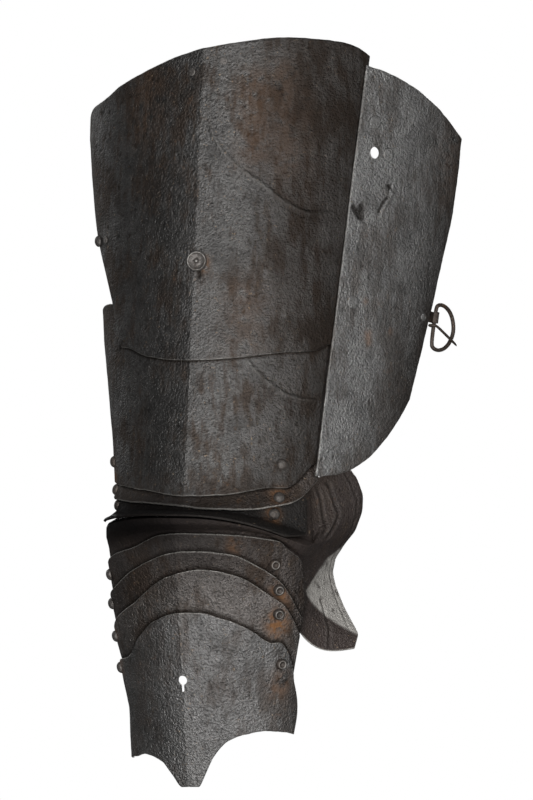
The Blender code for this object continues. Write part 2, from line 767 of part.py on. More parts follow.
def knee_cop(steel):
    """The knee cop with its wing."""
    plate = KneeRows(COP_ROWS, LOWER_HALF_ROW)
    rows = []
    for index in range(len(COP_ROWS)):
        row = [plate.row_point(index, angle) for angle in spread((COP_INNER_END, 90), 6, 7)]
        rows.append(row + wing_points(row, index))
    return {"knee_cop": (plate, shell("knee_cop", rows[::-1], steel))}


def shin_plates(steel):
    """The three lames below the knee and the plate that ends the armour."""
    first = edge(LAME_1_EDGE, KNEE_SPAN)
    second = edge(LAME_2_EDGE, KNEE_SPAN)
    third = edge(LAME_3_EDGE, KNEE_SPAN)
    top = edge(SHIN_TOP, KNEE_SPAN)
    plates = {}
    plates["lame_1"] = lap_plate(
        "lame_1", shin_section, (first, second, edge(LAME_1_HIDDEN, KNEE_SPAN)),
        lambda share: (-78, read_table(LAME_1_OUTER_END, share)), (3, 3), steel)
    plates["lame_2"] = lap_plate(
        "lame_2", shin_section, (second, third, edge(LAME_2_HIDDEN, KNEE_SPAN)),
        lambda share: (-80, 82), (3, 3), steel)
    plates["lame_3"] = lap_plate(
        "lame_3", shin_section, (third, top, edge(LAME_3_HIDDEN, KNEE_SPAN)),
        lambda share: (-80, 79), (4, 3), steel)
    shin = Trough(
        shin_section, ((edge(SHIN_BOTTOM, SHIN_DROP), 0.0), (top, 0.0)),
        lambda share: (read_table(SHIN_INNER_END, share), read_table(SHIN_OUTER_END, share)))
    plates["shin"] = (shin, shell("shin_plate", shin.grid((9,), 7, 6), steel))
    return plates


def pivots(plates, rivet_metal):
    """The rivets on which the knee plates turn. Returns the middles of the grips of each pair."""
    grips = {}
    order = ("cuisse", "lame_a", "lame_b", "knee_cop", "lame_1", "lame_2", "lame_3", "shin")
    for outer_name, inner_angle, inner_rise, outer_angle, outer_rise in PIVOTS:
        place = order.index(outer_name)
        other = order[place + 1] if place < 3 else order[place - 1]
        outer_plate, outer_item = plates[outer_name]
        inner_plate, inner_item = plates[other]
        for side, angle, rise in (("inner", inner_angle, inner_rise), ("outer", outer_angle, outer_rise)):
            height = KNEE_LEVEL + rise * KNEE_SPAN
            grip = rivet("pivot_" + outer_name + "_" + side, outer_plate, angle, height,
                         (outer_item, inner_item), rivet_metal, inner=inner_plate)
            grips.setdefault(outer_name, []).append(grip - ORIGIN)
    return grips


def loose_rivets(plates, rivet_metal):
    """The rivets and the stud that go through one plate."""
    upper, upper_item = plates["cuisse_upper"]
    for name, angle, rise, head, height in SINGLE_RIVETS:
        rivet(name, upper, angle, KNEE_LEVEL + rise * THIGH_RISE, (upper_item,), rivet_metal, head, height)


def keyhole(plates):
    """The keyhole in the lowest plate."""
    shin, shin_item = plates["shin"]
    place, direction = facing(shin, 0.0, KNEE_LEVEL + KEYHOLE_RISE * SHIN_DROP)
    cut(shin_item, drill("keyhole_round", KEYHOLE_RADIUS, HOLE_LENGTH, place, direction))
    frame = Matrix.Translation(place - ORIGIN) @ aim(direction)
    slot = frame @ Matrix.Translation((0.0, -KEYHOLE_DROP / 2, 0.0))
    cut(shin_item, block_cutter("keyhole_slot", (KEYHOLE_SLOT, KEYHOLE_DROP, HOLE_LENGTH), slot))


def side_plate(steel):
    """The hinged plate at the outer side of the thigh."""
    rows = []
    for hinged, free, width, bulge, slant in SIDE_ROWS:
        row = []
        for step in range(SIDE_COLUMNS + 1):
            share = step / SIDE_COLUMNS
            rise = blend(hinged, free, share ** slant) + bulge * 4 * share * (1 - share)
            row.append(side_point(width * SIDE_WIDTH * share, KNEE_LEVEL + rise * THIGH_RISE))
        rows.append(row)
    item = shell("side_plate", rows, steel)
    hole_height = KNEE_LEVEL + STRAP_HOLE_RISE * THIGH_RISE
    frame = side_frame(STRAP_HOLE_WIDTH, hole_height, 0.0)
    place = side_point(STRAP_HOLE_WIDTH, hole_height)
    cut(item, drill("strap_hole", STRAP_HOLE, HOLE_LENGTH, place, frame.col[0].to_3d()))
    return item


def side_rivet(name, width, height, walls, grip, head, finish):
    """A flush rivet through the side plate and what lies behind it."""
    place = side_point(width, height)
    direction = side_frame(width, height, 0.0).col[0].to_3d()
    turned(name, rivet_profile(head, FLUSH_HEIGHT, grip + TOUCH_GAP), place, direction, finish)
    tool = drill(name + "_hole", RIVET_SHANK + HOLE_CLEARANCE, HOLE_LENGTH, place, direction)
    for wall in walls:
        cut(wall, tool)


def hinge_frames():
    """Frames of both hinges, with their third axes along the one line on which they turn."""
    knuckle = HINGE_PIN + TOUCH_GAP + LEAF / 2
    depth = PLATE + TOUCH_GAP + LEAF / 2 + knuckle
    frames = [side_frame(HINGE_SET, KNEE_LEVEL + rise * THIGH_RISE, depth) for name, rise in HINGES]
    up = (frames[-1].translation - frames[0].translation).normalized()
    for frame in frames:
        out = frame.col[0].to_3d()
        out = (out - up * out.dot(up)).normalized()
        back = up.cross(out)
        for axis, column in enumerate((out, back, up)):
            frame.col[axis] = (*column, 0.0)
    return frames


def hinge(name, height, frame, side_item, steel, rivet_metal):
    """One hinge of the side plate: two leaves, the pin and the flush rivet of the outer leaf."""
    knuckle = HINGE_PIN + TOUCH_GAP + LEAF / 2
    half = HINGE_HEIGHT / 2
    leaf_depth = PLATE + TOUCH_GAP + LEAF / 2
    outer_path = [in_frame(frame, side_inside(HINGE_SET + HINGE_LEAF * share, height, leaf_depth))
                  for share in (1.0, 0.66, 0.33)]
    outer_path += arc(knuckle, 0, -270, 12)
    side_leaf = strap(name + "_side_leaf", outer_path, HINGE_SPLIT, half, frame, steel)
    section = thigh_section(height)
    lift = UPPER_LIFT - PLATE - TOUCH_GAP - LEAF / 2
    inner_path = [in_frame(frame, bend(section, LAP_ANGLE - turn, height, lift))
                  for turn in (HINGE_LEAF_TURN, HINGE_LEAF_TURN / 2, 0.0)]
    reach = math.hypot(*inner_path[-1])
    start = 270 - math.degrees(math.acos(knuckle / reach))
    inner_path += arc(knuckle, start, -50, 12)
    strap(name + "_main_leaf", inner_path, -half, -HINGE_SPLIT, frame, steel)
    mesh = bmesh.new()
    bmesh.ops.create_cone(mesh, cap_ends=True, segments=HOLE_SIDES, radius1=HINGE_PIN,
                          radius2=HINGE_PIN, depth=HINGE_HEIGHT + 2 * HINGE_PIN)
    pin = from_bmesh(name + "_pin", mesh, COLLECTION, rivet_metal)
    pin.matrix_world = frame
    side_rivet(name + "_rivet", HINGE_SET + HINGE_RIVET_SET, height + (half + HINGE_SPLIT) / 2,
               (side_item, side_leaf), PLATE + TOUCH_GAP + LEAF, SIDE_RIVET_HEAD, rivet_metal)


def buckle(side_item, steel, rivet_metal):
    """The buckle on its tab at the free edge of the side plate. Returns the frame of its bar."""
    height = KNEE_LEVEL + BUCKLE_RISE * THIGH_RISE
    eye = BUCKLE_WIRE + TOUCH_GAP + LEAF / 2
    leaf_depth = PLATE + TOUCH_GAP + LEAF / 2
    edge_width = side_width(height)
    frame = side_frame(edge_width + BUCKLE_REACH, height, leaf_depth - eye)
    ring = [(0.0, BUCKLE_WIDTH * back, BUCKLE_HEIGHT * up) for back, up in BUCKLE_RING]
    ring += [(0.0, back, -up) for out, back, up in reversed(ring[:-1])]
    wire("buckle_frame", ring, BUCKLE_WIRE, frame, rivet_metal, closed=True)
    loop = BUCKLE_WIRE + TOUCH_GAP + TONGUE_WIRE
    tongue = [(out, back, 0.0) for out, back in arc(loop, 100, 360, 10)]
    tongue += [(loop, TONGUE_LENGTH * share, -TONGUE_DROOP * share) for share in (0.35, 0.7, 1.0)]
    wire("buckle_tongue", tongue, TONGUE_WIRE, frame, rivet_metal)
    path = [in_frame(frame, side_inside(edge_width - TAB_LENGTH * share, height, leaf_depth))
            for share in (1.0, 0.5, 0.0)]
    path += arc(eye, 180, -70, 12)
    tab = strap("buckle_tab", path, TAB_LOW, TAB_HIGH, frame, steel)
    side_rivet("buckle_rivet", edge_width - TAB_LENGTH / 2, height + (TAB_LOW + TAB_HIGH) / 2,
               (side_item, tab), PLATE + TOUCH_GAP + LEAF, TAB_RIVET_HEAD, rivet_metal)
    return frame


def joint(name, place, axis, pieces, carrier=None):
    """An empty on a joint's axis, carried by another joint's empty, that carries the turning pieces."""
    empty = bpy.data.objects.new(name, None)
    bpy.data.collections[COLLECTION].objects.link(empty)
    empty.empty_display_size = HINGE_HEIGHT
    frame = Matrix.Translation(place) @ aim(axis)
    empty.matrix_world = frame
    if carrier:
        empty.parent = carrier
        empty.matrix_parent_inverse = carrier.matrix_world.inverted()
    for piece in pieces:
        item = bpy.data.objects[piece]
        item.parent = empty
        item.matrix_parent_inverse = frame.inverted()
    bpy.context.view_layer.update()
    return empty


def joints(grips, hinges, bar):
    """The empties on all joint axes."""
    carrier = None
    for name, pair, pieces in KNEE_JOINTS:
        inner, outer = grips[pair]
        carrier = joint(name, (inner + outer) / 2, outer - inner, pieces, carrier)
    low, high = (frame.translation for frame in hinges)
    side = joint("side_plate_hinge", (low + high) / 2, low - high, SIDE_PIECES)
    bar_up = bar.col[2].to_3d()
    swing = joint("buckle_swing", bar.translation, bar_up, ("buckle_frame",), side)
    joint("tongue_lift", bar.translation, bar_up, ("buckle_tongue",), swing)


def main():
    """Build every piece."""
    clear_scene()
    steel = metal("aged_steel", (0.17, 0.15, 0.13), 0.55)
    rivet_metal = metal("worn_iron", (0.12, 0.085, 0.06), 0.6)
    plates = thigh_plates(steel)
    plates.update(thigh_lames(steel))
    plates.update(knee_cop(steel))
    plates.update(shin_plates(steel))
    grips = pivots(plates, rivet_metal)
    loose_rivets(plates, rivet_metal)
    keyhole(plates)
    side_item = side_plate(steel)
    hinges = hinge_frames()
    for (name, rise), frame in zip(HINGES, hinges):
        hinge(name, KNEE_LEVEL + rise * THIGH_RISE, frame, side_item, steel, rivet_metal)
    side_rivet("side_rivet_upper", SPARE_RIVET_WIDTH, KNEE_LEVEL + SPARE_RIVET_RISE * THIGH_RISE,
               (side_item,), PLATE, SIDE_RIVET_HEAD, rivet_metal)
    bar = buckle(side_item, steel, rivet_metal)
    joints(grips, hinges, bar)


main()
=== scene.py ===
"""Looks of the armour for one leg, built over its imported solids.

The plates are forged again here at a fine grain from the same sizes as the solids: their smooth bends,
worn edges, beads, gouges and pits are in the meshes. Heights are worked out above the lowest tip, as in
the solids, and every point is then moved to the origin at the lost hanging strap.
"""
import logging
import math
from dataclasses import dataclass
from enum import Enum
from typing import Callable, NamedTuple, Sequence, Union

import bmesh
import bpy
import numpy as np
from mathutils import Matrix, Vector


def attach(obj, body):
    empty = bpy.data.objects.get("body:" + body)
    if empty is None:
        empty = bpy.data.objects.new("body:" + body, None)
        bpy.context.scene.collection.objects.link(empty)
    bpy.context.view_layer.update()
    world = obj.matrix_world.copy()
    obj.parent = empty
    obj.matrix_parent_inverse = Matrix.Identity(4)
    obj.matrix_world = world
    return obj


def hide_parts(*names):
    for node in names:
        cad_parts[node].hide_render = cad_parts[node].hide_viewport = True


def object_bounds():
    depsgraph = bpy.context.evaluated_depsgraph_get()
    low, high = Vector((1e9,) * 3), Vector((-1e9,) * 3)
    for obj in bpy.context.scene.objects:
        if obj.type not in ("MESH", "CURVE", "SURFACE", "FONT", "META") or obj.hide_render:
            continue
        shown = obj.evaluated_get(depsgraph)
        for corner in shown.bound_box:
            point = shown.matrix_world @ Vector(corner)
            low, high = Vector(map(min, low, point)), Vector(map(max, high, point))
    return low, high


log = logging.getLogger("leg_armour")
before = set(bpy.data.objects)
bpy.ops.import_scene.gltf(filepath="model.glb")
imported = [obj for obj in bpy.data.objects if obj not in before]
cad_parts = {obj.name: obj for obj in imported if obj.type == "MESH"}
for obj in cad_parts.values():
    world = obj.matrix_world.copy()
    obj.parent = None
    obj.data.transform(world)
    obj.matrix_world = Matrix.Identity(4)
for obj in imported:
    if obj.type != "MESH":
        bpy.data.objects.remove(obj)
CAD_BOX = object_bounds()

Colour = tuple[float, float, float]
Table = Sequence[Sequence[float]]
Socket = bpy.types.NodeSocket
Value = Union[float, Socket]
Ends = Callable[[float], tuple[float, float]]

# Leg sizes in metres, as in the solids
KNEE_LEVEL = 0.200
THIGH_RISE = 0.380
SHIN_DROP = 0.200
KNEE_SPAN = 0.180
THIGH_MEDIAL = 0.119
THIGH_LATERAL = 0.122
THIGH_DEPTH = 0.074
KNEE_MEDIAL = 0.078
KNEE_LATERAL = 0.0915
KNEE_DEPTH = 0.0605
SHIN_MEDIAL = 0.063
SHIN_LATERAL = 0.0745
SHIN_DEPTH = 0.050
KEEL_SHARE = 0.16
THIGH_FRONT = 0.0488
SHIN_FRONT = 0.0667
KNEE_REACH = 0.0765
THIGH_LEAN = math.radians(7.5)
SHIN_LEAN = math.radians(8.7)
LIP_FLARE = 0.006
LIP_START = 0.1777
LIP_SPREAD = 0.0945
PLATE = 0.0015
SEAT_GAP = 0.0003
TOUCH_GAP = 0.0003
STEP = PLATE + 0.0010
TUCK = 0.0034
UPPER_LIFT = PLATE + SEAT_GAP
COP_TUCK_ABOVE = 0.0123
COP_TUCK_BELOW = 0.0122
HANG_RISE = 0.941
LAP_ANGLE = 73.0
SIDE_WIDTH = 0.113
SIDE_BEND_RADIUS = 0.400
SEAM_ANGLE = 70.0
SIDE_LIFT = UPPER_LIFT + PLATE + SEAT_GAP + TOUCH_GAP
STRAP_HOLE = 0.0046
STRAP_HOLE_RISE = 0.766
STRAP_HOLE_WIDTH = 0.0182
KEYHOLE_RADIUS = 0.0036
KEYHOLE_SLOT = 0.0022
KEYHOLE_DROP = 0.009
KEYHOLE_RISE = -0.585

# Sizes of the patterns in the iron's finish, in metres, and the black of its painted shade
CLOUD_SIZE = 0.055
BLOTCH_SIZE = 0.030
MOTTLE_SIZE = 0.0075
DRIP_SIZE = 0.006
DRIP_STRETCH = (1.0, 1.0, 0.22)
FLECK_SIZE = 0.0030
POCK_SIZE = 0.0024
POCK_WANDER = 0.0012
WANDER_SCALE = 500.0
GRAIN_SIZE = 0.0019
GRAIN_HEIGHT = 0.0011
PAINTED_SHADE_BLACK = (0.006, 0.005, 0.005)
FLECK_SHIFT = (3.1, 1.7, 2.3)
BLOTCH_SHIFT = (1.3, 2.9, 0.4)

# Forging: depths and sizes of the dents and hammer marks, in metres
DENT_DEPTH = 0.00045
DENT_SIZE = 0.050
HAMMER_SIZE = 0.011
LAME_HAMMER = 0.00007
SHIN_HAMMER = 0.00010
HEAD_HAMMER_DEPTH = 0.00035
HEAD_HAMMER_SIZE = 0.0028
RIM_WEAR = 0.0013
INNER_RIM_WEAR = 0.0011
RIM_BRIGHT = 0.0004
HOLE_WEAR = 0.0009
SHARP_ANGLE = math.radians(50)
PROBE_STEP = 0.01

# Grain of the fine meshes
GRID = 0.0011
INNER_STRIDE = 4
EDGE_ROUND = 0.0009
EDGE_DROP = 0.00055
RAGGED = 0.00035
HOLE_SIDES = 40
HOLE_LENGTH = 0.024

MEDIAL_SWELL = (
    # rise over the knee, share of the way from the knee's half breadth to the thigh's
    (0.000, 0.00), (0.042, 0.00), (0.097, 0.03), (0.179, 0.12),
    (0.260, 0.24), (0.382, 0.43), (0.587, 0.67), (0.800, 0.93), (0.974, 1.00),
)
SHIN_TAPER = (
    # drop under the knee, shares for the inner and the outer side
    (0.00, 0.00, 0.26), (0.28, 0.13, 0.27), (0.44, 0.32, 0.56),
    (0.60, 0.70, 0.85), (0.70, 0.95, 0.93), (1.00, 1.00, 1.00),
)

UPPER_TOP = (
    (-82, 0.842), (-70, 0.862), (-54, 0.881), (-39, 0.911), (-24, 0.940), (-5, 0.973), (8, 0.987),
    (22, 0.998), (30, 1.000), (39, 0.999), (50, 0.994), (60, 0.986), (69, 0.972), (76, 0.958),
)
UPPER_BOTTOM = (
    (-46, 0.3695), (-38, 0.366), (-23, 0.3475), (0, 0.3405), (21, 0.3465), (39, 0.3555),
    (60, 0.360), (67, 0.371), (76, 0.378),
)
UPPER_INNER_END = (
    # share of the way up, angle
    (0.00, -44), (0.19, -52), (0.33, -60), (0.50, -72), (0.66, -80), (1.00, -82),
)
LOWER_TOP = (
    (-82, 0.440), (-70, 0.452), (-55, 0.458), (20, 0.458), (50, 0.410), (76, 0.400),
)
LOWER_BOTTOM = (
    (-80, 0.194), (-60, 0.183), (-27, 0.161), (0, 0.139), (17, 0.143), (42, 0.172), (51, 0.173),
    (58, 0.200), (66, 0.256), (76, 0.300),
)
LAME_A_EDGE = (
    (-80, 0.126), (-40, 0.113), (-25, 0.109), (0, 0.098), (18, 0.085), (30, 0.083), (45, 0.094),
    (58, 0.113), (62, 0.128), (66, 0.150), (72, 0.185), (78, 0.215),
)
LAME_A_HIDDEN = (
    (-80, 0.344), (-60, 0.333), (-30, 0.256), (0, 0.222), (25, 0.244), (45, 0.333), (60, 0.344),
    (78, 0.320),
)
LAME_1_EDGE = (
    (-80, -0.158), (-55, -0.117), (-30, -0.081), (-10, -0.029), (0, -0.022), (20, -0.024),
    (44, -0.040), (58, -0.056), (64, -0.089), (70, -0.112), (76, -0.130), (84, -0.190),
)
LAME_1_OUTER_END = (
    # share of the way from the exposed edge to the hidden one, angle
    (0.00, 78), (0.40, 84), (0.65, 84), (1.00, 76),
)
LAME_1_HIDDEN = (
    (-80, -0.383), (-60, -0.367), (-30, -0.270), (0, -0.178), (12, -0.172), (30, -0.200),
    (54, -0.317), (70, -0.385), (84, -0.440),
)
LAME_2_EDGE = (
    (-80, -0.294), (-58, -0.258), (-31, -0.176), (-4, -0.107), (12, -0.098), (27, -0.111),
    (43, -0.163), (57, -0.228), (69, -0.327), (82, -0.403),
)
LAME_2_HIDDEN = (
    (-80, -0.522), (-60, -0.500), (-30, -0.390), (0, -0.250), (13, -0.244), (30, -0.280),
    (56, -0.420), (70, -0.465), (83, -0.510),
)
LAME_3_EDGE = (
    (-80, -0.439), (-55, -0.380), (-34, -0.322), (-6, -0.206), (13, -0.176), (30, -0.202),
    (49, -0.284), (59, -0.327), (71, -0.406), (79, -0.460),
)
LAME_3_HIDDEN = (
    (-80, -0.680), (-60, -0.672), (-40, -0.600), (0, -0.456), (30, -0.490), (50, -0.600),
    (62, -0.655), (79, -0.695),
)
SHIN_TOP = (
    (-80, -0.600), (-68, -0.572), (-52, -0.561), (-44, -0.544), (-33, -0.473), (-17, -0.396),
    (-1, -0.361), (11, -0.361), (22, -0.384), (38, -0.434), (53, -0.491), (58, -0.489),
    (65, -0.516), (71, -0.568), (76, -0.635),
)
SHIN_BOTTOM = (
    (-85, -0.903), (-52, -0.888), (-38, -0.878), (-22, -0.903), (-13, -0.954), (-5, -1.000),
    (6, -1.000), (11, -0.942), (16.5, -0.876), (26, -0.818), (35.5, -0.795), (51.5, -0.783),
    (63, -0.787), (78, -0.798),
)
SHIN_INNER_END = (
    # share of the way up, angle
    (0.00, -85), (1.00, -80),
)
SHIN_OUTER_END = (
    # share of the way up, angle
    (0.00, 78), (0.45, 85), (1.00, 76),
)

# Rows of the knee plates from top to bottom. Reach is a share of the way from the tucked front to the
# crest, side a share of the knee's depth, the heights shares of the knee span over the knee line, the
# half breadths shares of the knee's own, and lateness says how far round the outer height is reached.
LAME_B_ROWS = (
    # reach, side, front height, inner height, outer height, inner half, outer half, lateness, outer end
    (0.0625, 0.281, 0.156, 0.222, 0.200, 0.918, 0.935, 1.3, 75),
    (0.2000, 0.258, 0.117, 0.139, 0.144, 0.944, 0.946, 1.3, 75),
    (0.3000, 0.192, 0.077, 0.067, -0.036, 0.963, 0.970, 1.3, 74),
    (0.6625, 0.083, 0.070, 0.044, -0.047, 0.992, 0.995, 1.3, 70),
    (0.9125, -0.010, 0.069, 0.033, -0.061, 1.013, 1.005, 1.3, 65),
    (1.0000, -0.050, 0.065, 0.022, -0.078, 1.019, 1.005, 1.3, 60),
)
COP_ROWS = (
    # reach, side, front height, inner height, outer height, inner half, outer half, lateness
    (0.000, 0.290, 0.100, 0.133, 0.200, 0.860, 0.883, 4.0),
    (0.125, 0.262, 0.080, 0.108, 0.089, 0.884, 0.903, 2.0),
    (0.275, 0.200, 0.056, 0.044, -0.055, 0.921, 0.930, 1.3),
    (0.638, 0.075, 0.0515, 0.024, -0.064, 0.957, 0.960, 1.3),
    (0.863, -0.012, 0.050, 0.010, -0.073, 0.980, 0.970, 1.3),
    (0.938, -0.052, 0.046, -0.011, -0.079, 0.990, 0.974, 1.3),
    (0.808, -0.066, 0.0195, -0.050, -0.105, 0.990, 0.936, 2.0),
    (0.357, -0.045, -0.007, -0.100, -0.125, 0.976, 0.890, 3.4),
    (0.214, -0.050, -0.033, -0.156, -0.239, 0.959, 0.880, 1.65),
    (0.140, -0.030, -0.061, -0.195, -0.269, 0.932, 0.868, 1.95),
    (0.085, -0.010, -0.086, -0.235, -0.306, 0.915, 0.850, 2.35),
    (0.043, 0.004, -0.108, -0.265, -0.356, 0.896, 0.835, 2.9),
    (0.000, 0.018, -0.128, -0.290, -0.411, 0.878, 0.820, 3.4),
)
COP_INNER_END = -84
LAME_B_INNER_END = -80
LOWER_HALF_ROW = 6
KNEE_EASE = 1.3
# Rim of the wing, one row for each row of the cop
WING_RIM = (
    # outward, back, height, sag, as shares of the wing's flare, its depth and the knee span
    (0.46, 0.57, 0.236, 0.000),
    (0.67, 0.75, 0.261, 0.000),
    (0.74, 0.87, 0.211, 0.000),
    (0.76, 0.95, 0.139, 0.000),
    (0.69, 0.98, 0.067, 0.000),
    (0.47, 1.00, -0.021, 0.000),
    (0.32, 1.00, -0.072, 0.000),
    (0.18, 1.00, -0.137, 0.000),
    (0.14, 0.98, -0.197, 0.000),
    (0.26, 0.97, -0.253, 0.000),
    (0.57, 0.94, -0.344, 0.000),
    (1.09, 0.84, -0.460, -0.020),
    (1.12, 0.70, -0.521, -0.055),
)
WING_FLARE = 0.030
WING_DEPTH = 0.061
WING_CURVE = 1.5
SIDE_ROWS = (
    # hinged edge height and free edge height over the knee line as shares of the thigh rise, width as
    # a share of the side plate's, bulge as a share of the thigh rise, and how late the row rises
    (0.105, 0.260, 0.79, 0.000, 2.6),
    (0.190, 0.310, 0.82, 0.000, 1.8),
    (0.300, 0.370, 0.86, 0.000, 1.3),
    (0.420, 0.450, 0.90, 0.000, 1.0),
    (0.560, 0.550, 0.95, 0.000, 1.0),
    (0.700, 0.650, 1.00, 0.002, 1.0),
    (0.830, 0.735, 1.00, 0.010, 1.0),
    (0.944, 0.801, 0.99, 0.023, 1.0),
)

# The wing's bare wedge with its painted highlight: where it starts behind the knee's middle, its level, and
# how fast it widens
BARE_HIGHLIGHT_START = 0.008
BARE_HIGHLIGHT_LEVEL = 0.151
BARE_HIGHLIGHT_UPPER = 0.69
BARE_HIGHLIGHT_LOWER = 0.86
BARE_HIGHLIGHT_FADE = 0.003
# Middle of the painted shade on the knee's inner side, across and up, and how far it reaches
PAINTED_SHADE_PLACE = (-0.045, 0.202)
PAINTED_SHADE_REACH = (0.105, 0.027)
# Where the thigh plates' painted shade starts outward of the ridge, and how far on it is full
FALLOFF_SHADE_START = 0.022
FALLOFF_SHADE_REACH = 0.060
LEG_AXIS = np.array((0.0, 0.030))
# Worked lines: how finely they are followed, and how they thin out towards their ends
LINE_SAMPLES = 24
TAPER_SHARE = 0.12
TAPER_LEAST = 0.15
# Studio
SOFT_BOXES = (
    # name, azimuth, elevation, distance, width and height in metres, watts
    ("front", 13.0, 15.0, 2.6, (0.3, 1.4), 25.0),
    ("low", 13.0, -22.0, 1.9, (0.35, 0.5), 14.0),
    ("outer_side", 74.0, 8.0, 2.4, (0.3, 1.5), 12.0),
    ("rim", -120.0, 20.0, 2.6, (0.8, 1.6), 5.0),
    ("back", 190.0, 12.0, 2.6, (1.6, 1.6), 60.0),
)
SURROUND_LIGHT = 0.060
FLOOR_PAINT = (0.90, 0.90, 0.89, 1.0)
FLOOR_ROUGHNESS = 0.9
FLOOR_SUN_SPREAD = math.radians(25.0)
FLOOR_SIDES = 96
VIEW_END = 100.0


class MarkKind(Enum):
    """How a worked or worn line changes a plate's face, or a painted shadow line darkens it."""

    BEAD = "bead"
    GROOVE = "groove"
    GOUGE = "gouge"
    GRIME = "grime"


class Section(NamedTuple):
    """Front, depth and half breadths of the leg at each height."""

    front: np.ndarray
    depth: np.ndarray
    medial: np.ndarray
    lateral: np.ndarray


@dataclass(frozen=True)
class Mark:
    """A line on a plate, given by places of the plate's own two measures."""

    kind: MarkKind
    line: tuple[tuple[float, float], ...]
    width: float = 0.0010
    height: float = 0.00045


@dataclass(frozen=True)
class Stain:
    """A rust stain round a place of a plate, which may run down from it."""

    place: tuple[float, float]
    reach: float
    run: float = 0.0
    strength: float = 1.0


def flow(rows: Table, key: np.ndarray, column: int = 1) -> np.ndarray:
    """Read a column of a table along a smooth curve that never overshoots its rows.

    Args:
        rows: The table, in order of its first column.
        key: Values of the first column to read at.
        column: The column to read.

    Returns:
        The values at the keys.
    """
    x = np.array([row[0] for row in rows], float)
    y = np.array([row[column] for row in rows], float)
    step = np.diff(x)
    rise = np.diff(y) / step
    slope = np.empty_like(y)
    slope[0], slope[-1] = rise[0], rise[-1]
    same = rise[:-1] * rise[1:] > 0
    before, after = 2 * step[1:] + step[:-1], step[1:] + 2 * step[:-1]
    left, right = np.where(same, rise[:-1], 1.0), np.where(same, rise[1:], 1.0)
    slope[1:-1] = np.where(same, (before + after) / (before / left + after / right), 0.0)
    key = np.clip(key, x[0], x[-1])
    index = np.clip(np.searchsorted(x, key) - 1, 0, len(x) - 2)
    span = step[index]
    t = (key - x[index]) / span
    return ((1 + 2 * t) * (1 - t) ** 2 * y[index] + t * (1 - t) ** 2 * span * slope[index]
            + t * t * (3 - 2 * t) * y[index + 1] - t * t * (1 - t) * span * slope[index + 1])


def thigh_section(height: np.ndarray) -> Section:
    """Leg section over the knee at each height.

    Args:
        height: Heights over the lowest tip.

    Returns:
        The section at each height.
    """
    over = height - KNEE_LEVEL
    rise = over / THIGH_RISE
    flare = np.clip((LIP_START - over / KNEE_SPAN) / LIP_SPREAD, 0.0, 1.0)
    swell = np.interp(rise, [row[0] for row in MEDIAL_SWELL], [row[1] for row in MEDIAL_SWELL])
    return Section(
        -THIGH_FRONT + math.tan(THIGH_LEAN) * over - LIP_FLARE * flare ** 2,
        KNEE_DEPTH + (THIGH_DEPTH - KNEE_DEPTH) * rise,
        KNEE_MEDIAL + (THIGH_MEDIAL - KNEE_MEDIAL) * swell,
        KNEE_LATERAL + (THIGH_LATERAL - KNEE_LATERAL) * rise)


def shin_section(height: np.ndarray) -> Section:
    """Leg section below the knee at each height.

    Args:
        height: Heights over the lowest tip.

    Returns:
        The section at each height.
    """
    drop = (KNEE_LEVEL - height) / SHIN_DROP
    keys = [row[0] for row in SHIN_TAPER]
    return Section(
        -SHIN_FRONT + math.tan(SHIN_LEAN) * (KNEE_LEVEL - height),
        KNEE_DEPTH + (SHIN_DEPTH - KNEE_DEPTH) * drop,
        KNEE_MEDIAL + (SHIN_MEDIAL - KNEE_MEDIAL) * np.interp(drop, keys, [row[1] for row in SHIN_TAPER]),
        KNEE_LATERAL + (SHIN_LATERAL - KNEE_LATERAL) * np.interp(drop, keys, [row[2] for row in SHIN_TAPER]))


def bend(section: Section, angle: np.ndarray, height: np.ndarray,
         lift: Union[float, np.ndarray] = 0.0) -> np.ndarray:
    """Bend points round the leg.

    Args:
        section: The leg's section at each point.
        angle: Angle round the leg in degrees, from the front ridge.
        height: Height over the lowest tip.
        lift: How far a point stands off the section, along its outward side.

    Returns:
        The points, in a last axis of three.
    """
    half = np.where(angle < 0, section.medial, section.lateral)
    turn = np.radians(angle)
    keel = KEEL_SHARE * half
    bowl = section.depth - keel
    x = half * np.sin(turn)
    y = section.front + bowl * (1 - np.cos(turn)) + keel * np.abs(np.sin(turn))
    along_x = half * np.cos(turn)
    along_y = bowl * np.sin(turn) + np.sign(turn) * keel * np.cos(turn)
    length = np.hypot(along_x, along_y)
    return np.stack(np.broadcast_arrays(
        x + lift * along_y / length, y - lift * along_x / length, height), -1)


HANG_LEVEL = np.array(KNEE_LEVEL + HANG_RISE * THIGH_RISE)
ORIGIN = bend(thigh_section(HANG_LEVEL), np.array(0.0), HANG_LEVEL, SEAT_GAP)


def waver(key: np.ndarray, seed: int, size: float) -> np.ndarray:
    """A seeded wavering of plus or minus one over keys, with waves down to a size.

    Args:
        key: Values to waver over.
        seed: Seed of the waves.
        size: The shortest wave.

    Returns:
        The wavering at each key.
    """
    random = np.random.default_rng(seed)
    total = np.zeros_like(key)
    for octave in range(5):
        for _ in range(3):
            wave = size * 2 ** (4 - octave) * random.uniform(0.7, 1.4)
            total += np.sin(2 * math.pi * key / wave + random.uniform(0, 7)) * 0.6 ** octave
    return total / 4.0


def edge_shares(length: float, spacing: float) -> np.ndarray:
    """Shares from 0 to 1 at a spacing along a length, with a finer row by each end.

    Args:
        length: The length to share out.
        spacing: Distance between the shares along it.

    Returns:
        The shares.
    """
    count = max(4, round(length / spacing))
    shares = np.linspace(0.0, 1.0, count + 1)
    near = 0.35 / count
    return np.concatenate(([0.0, near], shares[1:-1], [1.0 - near, 1.0]))


def facing(grid: np.ndarray) -> np.ndarray:
    """Outward directions of a grid whose rows go up and columns go to the outer side of the leg.

    Args:
        grid: Points of the outer face, its rows going up.

    Returns:
        One unit direction for each point.
    """
    across, up = np.gradient(grid, axis=1), np.gradient(grid, axis=0)
    out = np.cross(across, up)
    return out / np.linalg.norm(out, axis=-1, keepdims=True)


